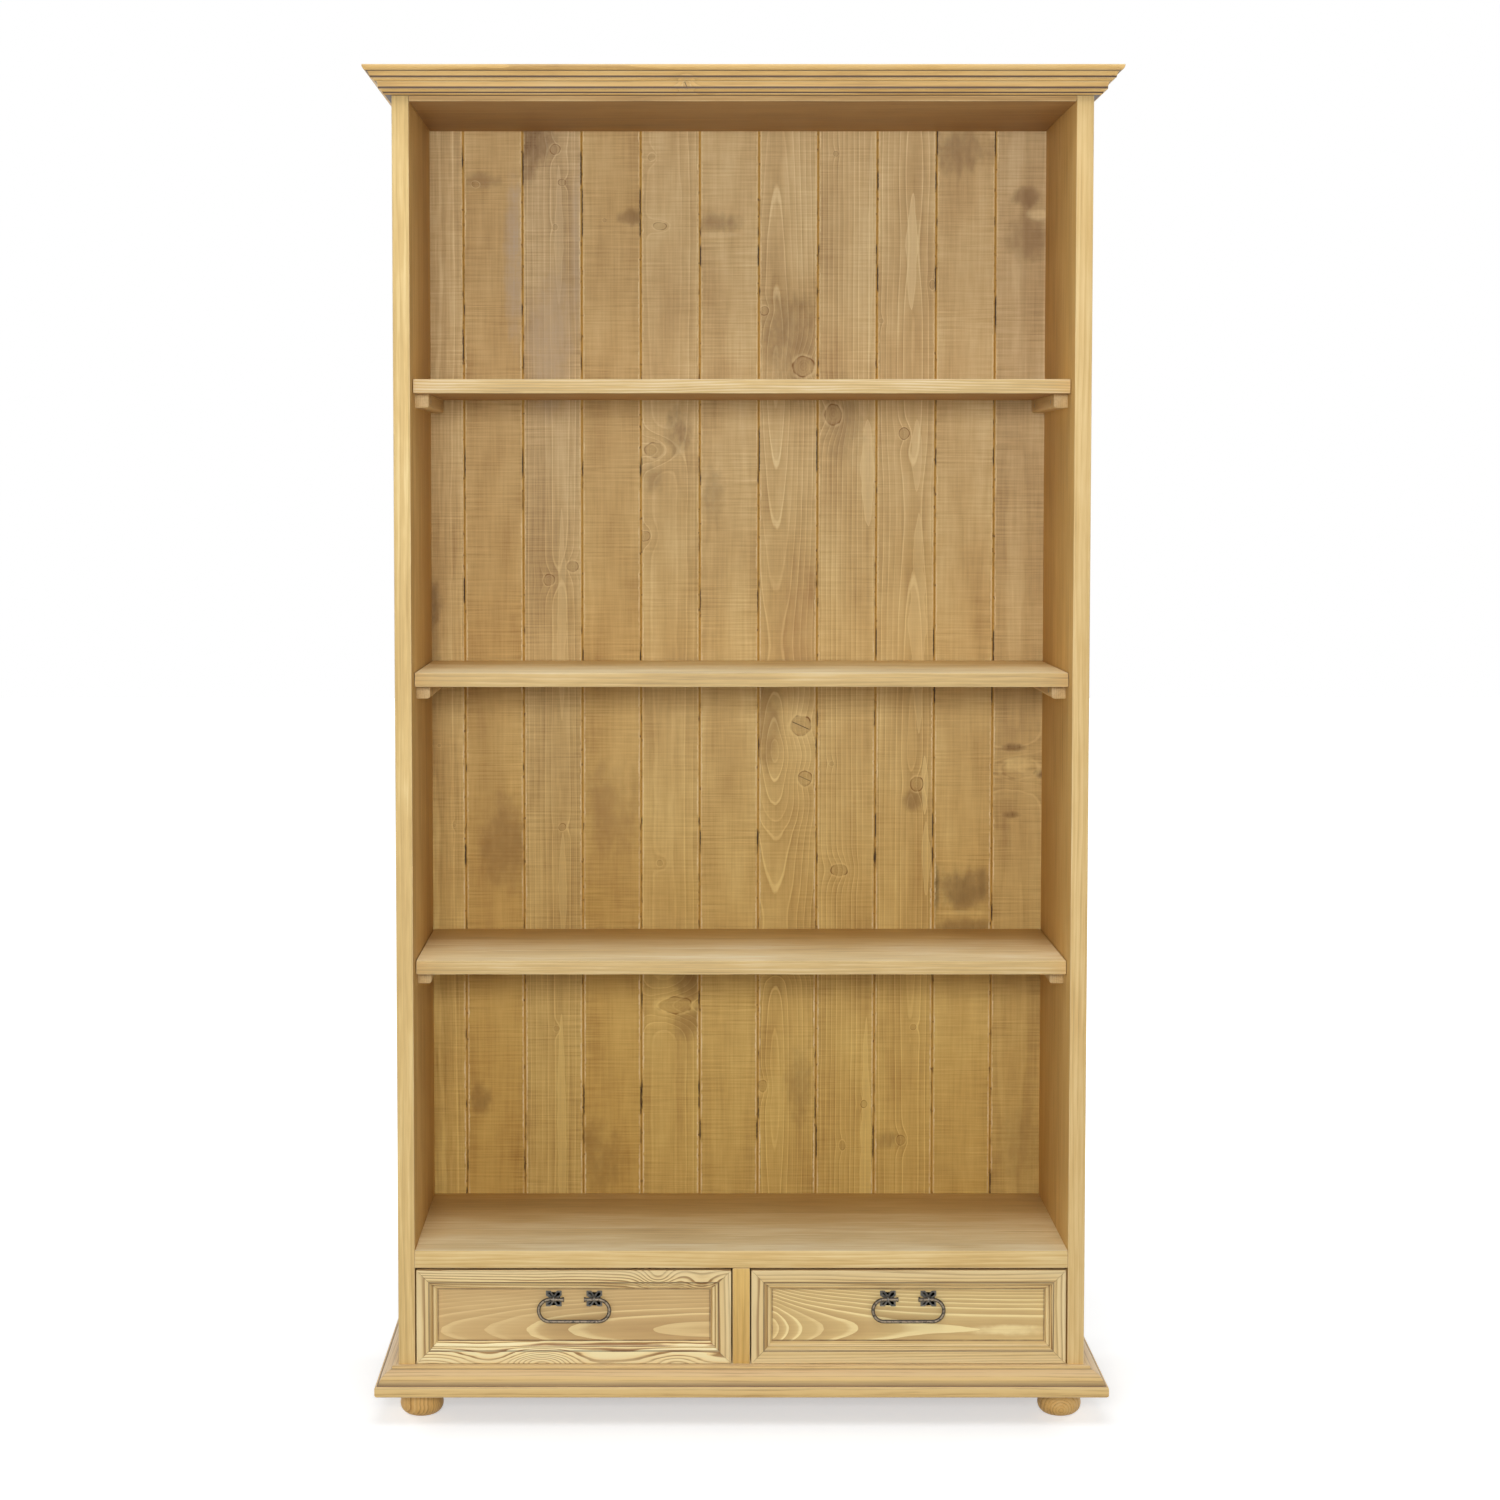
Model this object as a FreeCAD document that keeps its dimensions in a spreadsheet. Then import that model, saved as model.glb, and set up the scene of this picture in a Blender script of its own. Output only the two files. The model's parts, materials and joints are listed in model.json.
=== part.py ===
import FreeCAD, Part
import math
import os
import Sketcher
from FreeCAD import Placement, Rotation, Vector

# A waxed pine bookcase: an open case with three shelves over a pair of drawers.
# X runs to the right, Y to the back and Z up, in millimetres. The origin lies on the floor,
# under the middle of the whole piece, and the front of the case looks towards -Y.

SIZES = {
    # Case
    "case_width": 1022.0,
    "case_depth": 370.0,
    "side_thickness": 25.0,
    "bottom_thickness": 25.0,
    "deck_thickness": 26.5,
    "top_thickness": 24.0,
    "crown_thickness": 24.0,
    "divider_thickness": 26.0,
    # Heights of the openings, from the floor of the drawers up
    "drawer_opening": 145.0,
    "lower_bay": 408.0,
    "middle_bay": 409.0,
    "upper_bay": 413.0,
    "top_bay": 401.0,
    # Tongued back boards, which stand in rebates of the sides
    "back_thickness": 15.0,
    "rebate_width": 10.0,
    "first_board": 53.0,
    "last_board": 79.0,
    "tongue_length": 6.0,
    "tongue_thickness": 5.0,
    "seam_gap": 0.3,
    "seam_chamfer": 0.8,
    # Shelves and the cleats that carry them
    "shelf_thickness": 21.0,
    "shelf_recess": 36.0,
    "shelf_end_gap": 1.0,
    "shelf_back_gap": 1.0,
    "cleat_width": 20.5,
    "cleat_height": 20.0,
    "cleat_recess": 76.0,
    "cleat_rounding": 4.0,
    "cleat_screw_inset": 40.0,
    # Cornice and base mouldings
    "cornice_height": 40.0,
    "cornice_projection": 39.0,
    "base_height": 41.5,
    "base_projection": 33.0,
    # Turned feet
    "foot_height": 61.5,
    "foot_radius": 33.0,
    "foot_inset": 31.0,
    "foot_setback": 44.0,
    "foot_neck_radius": 29.0,
    "foot_shoulder_gap": 0.5,
    "foot_shoulder_rounding": 2.0,
    "foot_side_slope": 1.0,
    "foot_flat_radius": 18.0,
    "foot_round_height": 21.0,
    # Drawer fronts: a mitred, moulded frame round a sunk panel
    "front_side_gap": 2.0,
    "front_top_gap": 3.3,
    "front_bottom_gap": 0.7,
    "frame_width": 30.5,
    "frame_thickness": 22.0,
    "panel_recess": 13.5,
    "panel_lap": 8.0,
    "panel_gap": 0.5,
    # Drawer boxes
    "box_back_gap": 15.0,
    "box_side_gap": 3.0,
    "box_run_gap": 0.3,
    "box_wall": 12.0,
    "box_top_gap": 26.7,
    "box_bottom_thickness": 5.0,
    "box_bottom_rise": 8.0,
    "groove_depth": 5.0,
    "groove_gap": 0.1,
    "groove_end_gap": 0.5,
    "rail_groove_depth": 8.0,
    # Iron pulls: two rosettes, two eyes and a bail
    "rosette_drop": 3.75,
    "rosette_size": 23.5,
    "rosette_thickness": 1.5,
    "eye_spacing": 60.5,
    "eye_radius": 4.4,
    "eye_width": 2.4,
    "eye_plate_gap": 0.3,
    "shank_radius": 1.7,
    "shank_gap": 0.1,
    "clinch_radius": 4.0,
    "clinch_thickness": 1.2,
    "bail_width": 111.0,
    "bail_radius": 2.65,
    "bail_bend": 16.7,
    "bail_gap": 0.1,
    "tail_reach": 15.0,
    "tail_flare_radius": 3.5,
    "tail_flare_length": 4.0,
    # Screws and dowels
    "screw_length": 40.0,
    "screw_radius": 2.0,
    "screw_head_radius": 4.0,
    "screw_head_depth": 2.5,
    "dowel_radius": 4.0,
    "dowel_length": 32.0,
    "dowel_seat": 14.0,
    "dowel_inset": 60.0,
    "fastener_gap": 0.05,
    "dowel_end_gap": 0.5,
    # Length by which every cutting shape runs past the wood that it cuts
    "overrun": 5.0,
}

BOARD_COUNT = 11

# Moulding outlines as shares of projection and height. A point is (out, up), and one that ends
# a round stretch is (out, up, (out, up) of a point on the round).
CORNICE_SHARES = (
    (0.0, 0.0),
    (0.20, 0.0),
    (0.28, 0.05, (0.247, 0.014)),
    (0.28, 0.07),
    (0.408, 0.213, (0.318, 0.165)),
    (0.446, 0.225),
    (0.446, 0.25),
    (0.50, 0.465, (0.459, 0.36)),
    (0.52, 0.465),
    (0.63, 0.575, (0.595, 0.495)),
    (0.728, 0.623),
    (0.826, 0.85, (0.758, 0.74)),
    (0.892, 0.85),
    (1.0, 0.975, (0.9695, 0.8933)),
    (1.0, 1.0),
    (0.0, 1.0),
)

BASE_SHARES = (
    (0.0, 0.0),
    (0.88, 0.0),
    (1.0, 0.12, (0.965, 0.035)),
    (1.0, 0.34),
    (0.93, 0.40, (0.98, 0.385)),
    (0.86, 0.40),
    (0.34, 0.88, (0.655, 0.71)),
    (0.27, 0.90),
    (0.27, 0.94),
    (0.21, 1.0, (0.255, 0.985)),
    (0.0, 1.0),
)

# Moulded inner edge of a drawer's frame: shares of the moulding's width, inwards, and of the
# panel's recess, backwards.
FRAME_SHARES = (
    (0.04, 0.06),
    (0.48, 0.36, (0.33, 0.13)),
    (0.52, 0.48),
    (0.58, 0.50),
    (0.96, 0.88, (0.83, 0.62)),
    (1.0, 0.90),
)
FRAME_FLAT_SHARE = 0.575

# Middle of a foot's lower round, as shares of its width and rise
FOOT_ROUND_SHARES = (0.74, 0.26)

# How far the middle of a quarter round lies inside its corner, as a share of the radius
ROUND_SHARE = 1 - math.sqrt(0.5)

# Depths of a pair of upright dowels, as shares of the depth of the board
DOWEL_DEPTH_SHARES = (0.25, 0.75)

# One quarter of a rosette's edge, as shares of its half size: a petal and half a notch each side.
ROSETTE_SHARES = ((0.54, 0.10), (1.0, 0.38), (1.0, 1.0), (0.38, 1.0), (0.10, 0.54))

DRAWERS = ("left", "right")

doc = FreeCAD.newDocument("bookcase")


class Size:
    """A length together with the named sizes that it comes from."""

    def __init__(self, value, text):
        self.value = value
        self.text = text

    @staticmethod
    def of(item):
        if isinstance(item, Size):
            return item
        return Size(float(item), repr(float(item)))

    def joined(self, other, sign, value):
        return Size(value, f"({self.text} {sign} {other.text})")

    def __add__(self, other):
        other = Size.of(other)
        return self.joined(other, "+", self.value + other.value)

    def __sub__(self, other):
        other = Size.of(other)
        return self.joined(other, "-", self.value - other.value)

    def __mul__(self, other):
        other = Size.of(other)
        return self.joined(other, "*", self.value * other.value)

    def __truediv__(self, other):
        other = Size.of(other)
        return self.joined(other, "/", self.value / other.value)

    def __neg__(self):
        return self * -1

    def __radd__(self, other):
        return Size.of(other) + self

    def __rsub__(self, other):
        return Size.of(other) - self

    def __rmul__(self, other):
        return Size.of(other) * self


class Sheet:
    """The driving sizes, by their names."""

    def __init__(self, sizes):
        self.cells = doc.addObject("Spreadsheet::Sheet", "Sizes")
        for row, (name, value) in enumerate(sizes.items(), start=1):
            self.cells.set(f"A{row}", name)
            self.cells.set(f"B{row}", str(value))
            self.cells.setAlias(f"B{row}", name)
        self.cells.recompute()

    def __getattr__(self, name):
        return Size(float(self.cells.get(name)), f"Sizes.{name}")


size = Sheet(SIZES)
nodes = []


def bind(item, prop, length):
    item.setExpression(prop, Size.of(length).text)


def keep(item, name):
    """Names a finished piece and puts it on the list of what is written out."""
    item.Label = name
    nodes.append(item)
    return item


# Levels above the floor
bottom_low = size.foot_height
bottom_top = bottom_low + size.bottom_thickness
deck_low = bottom_top + size.drawer_opening
deck_top = deck_low + size.deck_thickness
lower_shelf_low = deck_top + size.lower_bay
middle_shelf_low = lower_shelf_low + size.shelf_thickness + size.middle_bay
upper_shelf_low = middle_shelf_low + size.shelf_thickness + size.upper_bay
top_low = upper_shelf_low + size.shelf_thickness + size.top_bay
top_top = top_low + size.top_thickness
crown_top = top_top + size.crown_thickness
base_low = bottom_top - size.base_height
cornice_low = crown_top - size.cornice_height

# Widths from the middle and depths from the front of the case
case_half = size.case_width / 2
inner_half = case_half - size.side_thickness
inner_depth = size.case_depth - size.back_thickness
divider_half = size.divider_thickness / 2
front_y = (size.cornice_projection - size.case_depth) / 2


def stand(item, x, y, z):
    """Places a piece. Y is counted from the front of the case."""
    bind(item, "Placement.Base.x", x)
    bind(item, "Placement.Base.y", front_y + y)
    bind(item, "Placement.Base.z", z)


def turn(item, x_axis, y_axis, z_axis):
    item.Placement = Placement(Vector(), Rotation(x_axis, y_axis, z_axis, "XYZ"))


def block(name, xs, ys, zs):
    """A squared board between two values on each axis."""
    box = doc.addObject("Part::Box", name)
    for prop, (low, high) in zip(("Length", "Width", "Height"), (xs, ys, zs)):
        bind(box, prop, high - low)
    stand(box, xs[0], ys[0], zs[0])
    return box


def cut(name, blank, tools):
    """Takes the shapes of holes out of a blank."""
    if not tools:
        return blank
    tool = doc.addObject("Part::Feature", f"{name}_tool")
    tool.Shape = Part.makeCompound(tools)
    result = doc.addObject("Part::Cut", f"{name}_cut")
    result.Base = blank
    result.Tool = tool
    return result


def new_sketch(body, role, name):
    sketch = body.newObject("Sketcher::SketchObject", name)
    plane = [item for item in body.Origin.OriginFeatures if item.Role == role][0]
    sketch.AttachmentSupport = [(plane, "")]
    sketch.MapMode = "FlatFace"
    return sketch


def spot(point):
    return Vector(Size.of(point[0]).value, Size.of(point[1]).value, 0)


def draw(sketch, points):
    """Draws a closed outline and ties each corner to the named sizes."""
    count = len(points)
    for index in range(count):
        end = points[(index + 1) % count]
        if len(end) == 3:
            edge = Part.Arc(spot(points[index]), spot(end[2]), spot(end))
        else:
            edge = Part.LineSegment(spot(points[index]), spot(end))
        sketch.addGeometry(edge, False)
    for index in range(count):
        corner = spot(points[index])
        here = nearest_end(sketch, index, corner)
        before = (index - 1) % count
        there = nearest_end(sketch, before, corner)
        sketch.addConstraint(Sketcher.Constraint("Coincident", before, there, index, here))
        for kind, length in zip(("DistanceX", "DistanceY"), points[index]):
            length = Size.of(length)
            row = sketch.addConstraint(
                Sketcher.Constraint(kind, -1, 1, index, here, length.value))
            bind(sketch, f"Constraints[{row}]", length)


def nearest_end(sketch, edge, corner):
    """Number of the edge's end, 1 or 2, that lies on the corner."""
    gaps = [sketch.getPoint(edge, end).distanceToPoint(corner) for end in (1, 2)]
    return 1 if gaps[0] <= gaps[1] else 2


def pocket(body, role, name, points):
    """Cuts an outline right through a piece, both ways from one of its main planes."""
    sketch = new_sketch(body, role, f"{name}_outline")
    draw(sketch, points)
    hole = body.newObject("PartDesign::Pocket", name)
    hole.Profile = sketch
    hole.Type = "ThroughAll"
    hole.SideType = "Symmetric"
    body.Tip = hole


def bar(name, section, start, length):
    """A bar with its section on the YZ plane, from start to start + length along X."""
    body = doc.addObject("PartDesign::Body", name)
    sketch = new_sketch(body, "YZ_Plane", f"{name}_section")
    bind(sketch, "AttachmentOffset.Base.z", start)
    draw(sketch, section)
    pad = body.newObject("PartDesign::Pad", f"{name}_pad")
    pad.Profile = sketch
    bind(pad, "Length", length)
    body.Tip = pad
    return body


def outer_mitre(body, name, end, reach, heading):
    """Cuts the end of a moulding so that its outer edge is the longest."""
    past = size.overrun
    far = end + (reach + past) * heading
    points = [
        (end - past * heading, -past),
        (far, -past),
        (far, reach + past),
    ]
    pocket(body, "XY_Plane", name, points)


def inner_mitre(body, name, end, reach, heading):
    """Cuts the end of a frame member so that its outer edge, at Y zero, is the longest."""
    past = size.overrun
    points = [
        (end + past * heading, -past),
        (end + past * heading, reach + past),
        (end - (reach + past) * heading, reach + past),
    ]
    pocket(body, "XY_Plane", name, points)


def shared_outline(shares, reach, height):
    """Turns shares into named sizes."""
    points = []
    for share in shares:
        point = (reach * share[0], height * share[1])
        if len(share) == 3:
            point += ((reach * share[2][0], height * share[2][1]),)
        points.append(point)
    return points


# Screws and dowels, and the holes for them

def value_at(x, y, z):
    """A place in millimetres, with Y counted from the front of the case."""
    return Vector(Size.of(x).value, (front_y + y).value, Size.of(z).value)


def screw(place, heading, gap=0.0):
    """A countersunk screw. Place is the middle of its flat head, heading the way it is driven."""
    shank = size.screw_radius.value + gap
    head = size.screw_head_radius.value + gap
    depth = size.screw_head_depth.value
    end = size.screw_length.value + gap
    profile = Part.makePolygon([
        Vector(0, 0, 0), Vector(head, 0, 0), Vector(shank, 0, depth),
        Vector(shank, 0, end), Vector(0, 0, end), Vector(0, 0, 0),
    ])
    shape = Part.Face(profile).revolve(Vector(), Vector(0, 0, 1), 360)
    shape.Placement = Placement(place, Rotation(Vector(0, 0, 1), heading))
    return shape


def dowel(seam, heading, hole=False):
    """A dowel across a joint. It stands in the first piece by its seat, in the next by the rest."""
    radius = size.dowel_radius.value
    length = size.dowel_length.value
    back = size.dowel_seat.value
    if hole:
        radius += size.fastener_gap.value
        back += size.dowel_end_gap.value
        length += 2 * size.dowel_end_gap.value
    return Part.makeCylinder(radius, length, seam - heading * back, heading)


RIGHT = Vector(1, 0, 0)
BACK = Vector(0, 1, 0)
UP = Vector(0, 0, 1)

screws = []
dowels = []


def screw_holes(group):
    gap = size.fastener_gap.value
    return [screw(place, heading, gap) for place, heading in group]


def dowel_holes(group):
    return [dowel(seam, heading, True) for seam, heading in group]


def end_dowels(level, side):
    """Three dowels between a level board and one side of the case."""
    depths = (size.dowel_inset, inner_depth / 2, inner_depth - size.dowel_inset)
    return [(value_at(inner_half * side, depth, level), RIGHT * -side) for depth in depths]


top_level = top_low + size.top_thickness / 2
deck_level = deck_low + size.deck_thickness / 2
bottom_level = bottom_low + size.bottom_thickness / 2
side_middle = inner_half + size.side_thickness / 2

board_dowels = {}
for level_name, level in (("top", top_level), ("deck", deck_level), ("bottom", bottom_level)):
    for side in (-1, 1):
        board_dowels[level_name, side] = end_dowels(level, side)

crown_dowels = {}
for side in (-1, 1):
    crown_dowels[side] = [
        (value_at(side_middle * side, size.case_depth * share, top_top), -UP)
        for share in DOWEL_DEPTH_SHARES
    ]

divider_dowels = {
    "deck": [(value_at(0, inner_depth * share, deck_low), -UP) for share in DOWEL_DEPTH_SHARES],
    "bottom": [(value_at(0, inner_depth * share, bottom_top), UP) for share in DOWEL_DEPTH_SHARES],
}

for group in list(board_dowels.values()) + list(crown_dowels.values()):
    dowels += group
for group in divider_dowels.values():
    dowels += group

# Seams between the back boards, from left to right
rebate_edge = inner_half + size.rebate_width
first_seam = -inner_half + size.first_board
last_seam = inner_half - size.last_board
board_pitch = (last_seam - first_seam) / (BOARD_COUNT - 2)
board_edges = [-rebate_edge + size.seam_gap]
board_edges += [first_seam + board_pitch * index for index in range(BOARD_COUNT - 1)]
board_edges += [rebate_edge - size.seam_gap]

board_screws = []
for index in range(BOARD_COUNT):
    low = board_edges[index] if index else -inner_half
    high = board_edges[index + 1] if index < BOARD_COUNT - 1 else inner_half
    middle = (low + high) / 2
    board_screws.append({
        name: (value_at(middle, size.case_depth, level), -BACK)
        for name, level in (("top", top_level), ("deck", deck_level), ("bottom", bottom_level))
    })

foot_x = case_half - size.foot_inset
foot_rows = {"front": size.foot_setback, "rear": size.case_depth - size.foot_setback}
foot_screws = {}
for row, depth in foot_rows.items():
    for side, sign in (("left", -1), ("right", 1)):
        foot_screws[row, side] = (value_at(foot_x * sign, depth, bottom_top), -UP)

shelf_levels = {
    "lower": lower_shelf_low,
    "middle": middle_shelf_low,
    "upper": upper_shelf_low,
}
cleat_back = inner_depth - size.shelf_back_gap
cleat_screws = {}
for shelf, low in shelf_levels.items():
    for side in (-1, 1):
        head = (inner_half - size.cleat_width) * side
        level = low - size.cleat_height / 2
        depths = (size.cleat_recess + size.cleat_screw_inset, cleat_back - size.cleat_screw_inset)
        cleat_screws[shelf, side] = [
            (value_at(head, depth, level), RIGHT * side) for depth in depths]

for group in board_screws:
    screws += group.values()
screws += foot_screws.values()
for group in cleat_screws.values():
    screws += group


def back_holes(level_name):
    return screw_holes([group[level_name] for group in board_screws])


# Sides of the case, with a rebate for the back boards
for side, sign in (("left", -1), ("right", 1)):
    name = f"{side}_side"
    xs = (-case_half, -inner_half) if sign < 0 else (inner_half, case_half)
    blank = block(f"{name}_blank", xs, (Size.of(0), size.case_depth), (bottom_low, top_top))
    reach = (-rebate_edge, -inner_half + size.overrun)
    if sign > 0:
        reach = (inner_half - size.overrun, rebate_edge)
    rebate = block(f"{name}_rebate", reach, (inner_depth, size.case_depth + size.overrun),
                   (bottom_low - size.overrun, top_top + size.overrun))
    rebated = doc.addObject("Part::Cut", f"{name}_rebated")
    rebated.Base = blank
    rebated.Tool = rebate
    holes = dowel_holes(crown_dowels[sign])
    for level_name in ("top", "deck", "bottom"):
        holes += dowel_holes(board_dowels[level_name, sign])
    for shelf in shelf_levels:
        holes += screw_holes(cleat_screws[shelf, sign])
    keep(cut(name, rebated, holes), name)

# Level boards between the sides, and the crown board on top of them
level_boards = {
    "bottom_panel": ("bottom", bottom_low, bottom_top),
    "deck_panel": ("deck", deck_low, deck_top),
    "top_panel": ("top", top_low, top_top),
}
for name, (level_name, low, high) in level_boards.items():
    blank = block(f"{name}_blank", (-inner_half, inner_half), (Size.of(0), inner_depth), (low, high))
    holes = back_holes(level_name)
    for sign in (-1, 1):
        holes += dowel_holes(board_dowels[level_name, sign])
    holes += dowel_holes(divider_dowels.get(level_name, []))
    if level_name == "bottom":
        holes += screw_holes(foot_screws.values())
    keep(cut(name, blank, holes), name)

blank = block("crown_board_blank", (-case_half, case_half), (Size.of(0), size.case_depth),
              (top_top, crown_top))
keep(cut("crown_board", blank, dowel_holes(crown_dowels[-1] + crown_dowels[1])), "crown_board")

# Divider between the drawers
blank = block("drawer_divider_blank", (-divider_half, divider_half), (Size.of(0), inner_depth),
              (bottom_top, deck_low))
holes = dowel_holes(divider_dowels["deck"] + divider_dowels["bottom"])
keep(cut("drawer_divider", blank, holes), "drawer_divider")

# Back boards: a groove in each left edge takes the tongue of the board before
back_mid = size.back_thickness / 2
tongue_half = size.tongue_thickness / 2
groove_half = tongue_half + size.seam_gap
for index in range(BOARD_COUNT):
    name = f"back_board_{index + 1:02d}"
    first = index == 0
    last = index == BOARD_COUNT - 1
    width = board_edges[index + 1] - board_edges[index]
    if not last:
        width = width - size.seam_gap
    thick = size.back_thickness
    chamfer = size.seam_chamfer
    plan = [(Size.of(0), Size.of(0))] if first else [(Size.of(0), chamfer), (chamfer, Size.of(0))]
    if last:
        plan += [(width, Size.of(0)), (width, thick)]
    else:
        tip = width + size.tongue_length
        plan += [
            (width - chamfer, Size.of(0)), (width, chamfer),
            (width, back_mid - tongue_half), (tip, back_mid - tongue_half),
            (tip, back_mid + tongue_half), (width, back_mid + tongue_half),
            (width, thick),
        ]
    plan += [(Size.of(0), thick)]
    if not first:
        depth = size.tongue_length
        plan += [
            (Size.of(0), back_mid + groove_half), (depth, back_mid + groove_half),
            (depth, back_mid - groove_half), (Size.of(0), back_mid - groove_half),
        ]
    body = doc.addObject("PartDesign::Body", f"{name}_body")
    sketch = new_sketch(body, "XY_Plane", f"{name}_plan")
    draw(sketch, plan)
    pad = body.newObject("PartDesign::Pad", f"{name}_pad")
    pad.Profile = sketch
    bind(pad, "Length", top_top - bottom_low)
    body.Tip = pad
    stand(body, board_edges[index], inner_depth, bottom_low)
    keep(cut(name, body, screw_holes(board_screws[index].values())), name)

# Shelves, each on a pair of cleats
for shelf, low in shelf_levels.items():
    reach = inner_half - size.shelf_end_gap
    shelf_back = inner_depth - size.shelf_back_gap
    plank = block(f"shelf_{shelf}", (-reach, reach), (size.shelf_recess, shelf_back),
                  (low, low + size.shelf_thickness))
    keep(plank, f"shelf_{shelf}")
    pair = []
    for sign in (-1, 1):
        name = f"{shelf}_cleat_{'left' if sign < 0 else 'right'}"
        edge = size.cleat_rounding
        wide = size.cleat_width
        tall = size.cleat_height
        section = [
            (Size.of(0), Size.of(0)),
            (wide - edge, Size.of(0)),
            (wide, edge, (wide - edge * ROUND_SHARE, edge * ROUND_SHARE)),
            (wide, tall),
            (Size.of(0), tall),
        ]
        body = bar(name, section, Size.of(0), cleat_back - size.cleat_recess)
        if sign < 0:
            turn(body, -BACK, RIGHT, UP)
            stand(body, -inner_half, cleat_back, low - tall)
        else:
            turn(body, BACK, -RIGHT, UP)
            stand(body, inner_half, size.cleat_recess, low - tall)
        pair.append(cut(name, body, screw_holes(cleat_screws[shelf, sign])))
    group = doc.addObject("Part::Compound", f"{shelf}_cleats")
    group.Links = pair
    keep(group, f"{shelf}_shelf_cleats")


def wrap_moulding(family, shares, reach, height, low):
    """A moulding along the front and both sides of the case, mitred at the front corners."""
    section = shared_outline(shares, reach, height)
    front = bar(f"{family}_front_bar", section, -case_half - reach, (case_half + reach) * 2)
    outer_mitre(front, f"{family}_front_mitre_low", -case_half, reach, -1)
    outer_mitre(front, f"{family}_front_mitre_high", case_half, reach, 1)
    turn(front, -RIGHT, -BACK, UP)
    stand(front, Size.of(0), Size.of(0), low)
    keep(front, f"{family}_front")

    right = bar(f"{family}_right_bar", section, -size.case_depth, size.case_depth + reach)
    outer_mitre(right, f"{family}_right_mitre", Size.of(0), reach, 1)
    turn(right, -BACK, RIGHT, UP)
    stand(right, case_half, Size.of(0), low)
    keep(right, f"{family}_right")

    left = bar(f"{family}_left_bar", section, -reach, size.case_depth + reach)
    outer_mitre(left, f"{family}_left_mitre", Size.of(0), reach, -1)
    turn(left, BACK, -RIGHT, UP)
    stand(left, -case_half, Size.of(0), low)
    keep(left, f"{family}_left")


wrap_moulding("cornice", CORNICE_SHARES, size.cornice_projection, size.cornice_height, cornice_low)
wrap_moulding("base", BASE_SHARES, size.base_projection, size.base_height, base_low)

# Feet, turned about an upright axis, with a neck that goes up behind the base moulding
for (row, side), hole in foot_screws.items():
    name = f"{row}_{side}_foot"
    sign = -1 if side == "left" else 1
    flat = size.foot_flat_radius
    belly = size.foot_radius
    rise = size.foot_round_height
    shoulder = base_low - size.foot_shoulder_gap
    edge = size.foot_shoulder_rounding
    waist = belly - size.foot_side_slope
    round_across, round_up = FOOT_ROUND_SHARES
    outline = [
        (Size.of(0), Size.of(0)),
        (flat, Size.of(0)),
        (waist, rise, (flat + (waist - flat) * round_across, rise * round_up)),
        (belly, shoulder - edge),
        (belly - edge, shoulder, (belly - edge * ROUND_SHARE, shoulder - edge * ROUND_SHARE)),
        (size.foot_neck_radius, shoulder),
        (size.foot_neck_radius, size.foot_height),
        (Size.of(0), size.foot_height),
    ]
    body = doc.addObject("PartDesign::Body", f"{name}_body")
    sketch = new_sketch(body, "XZ_Plane", f"{name}_outline")
    draw(sketch, outline)
    turning = body.newObject("PartDesign::Revolution", f"{name}_turning")
    turning.Profile = sketch
    turning.ReferenceAxis = (sketch, ["V_Axis"])
    turning.Angle = 360
    body.Tip = turning
    stand(body, foot_x * sign, foot_rows[row], Size.of(0))
    keep(cut(name, body, screw_holes([hole])), name)

# Drawers
opening_half = (inner_half - divider_half) / 2
front_half = opening_half - size.front_side_gap
front_low = bottom_top + size.front_bottom_gap
front_high = deck_low - size.front_top_gap
box_half = opening_half - size.box_side_gap
box_low = bottom_top + size.box_run_gap
box_high = deck_low - size.box_top_gap
box_back = inner_depth - size.box_back_gap
pull_level = front_high - size.frame_width - size.rosette_drop - size.rosette_size / 2
axis_depth = size.panel_recess - size.rosette_thickness - size.eye_plate_gap - size.eye_radius
eye_half = size.eye_spacing / 2


def frame_section():
    """Section of a frame member: Y inwards from its outer edge, Z backwards from its face."""
    wide = size.frame_width
    flat = wide * FRAME_FLAT_SHARE
    moulded = shared_outline(FRAME_SHARES, wide - flat, size.panel_recess)
    edge = [(Size.of(0), Size.of(0)), (flat, Size.of(0))]
    for point in moulded:
        shifted = (point[0] + flat, point[1])
        if len(point) == 3:
            shifted += ((point[2][0] + flat, point[2][1]),)
        edge.append(shifted)
    lap = wide - size.panel_lap
    edge += [
        (wide, size.panel_recess), (lap, size.panel_recess),
        (lap, size.frame_thickness), (Size.of(0), size.frame_thickness),
    ]
    return edge


def frame_member(name, half_length):
    member = bar(f"{name}_bar", frame_section(), -half_length, half_length * 2)
    inner_mitre(member, f"{name}_mitre_low", -half_length, size.frame_width, -1)
    inner_mitre(member, f"{name}_mitre_high", half_length, size.frame_width, 1)
    return member


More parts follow.
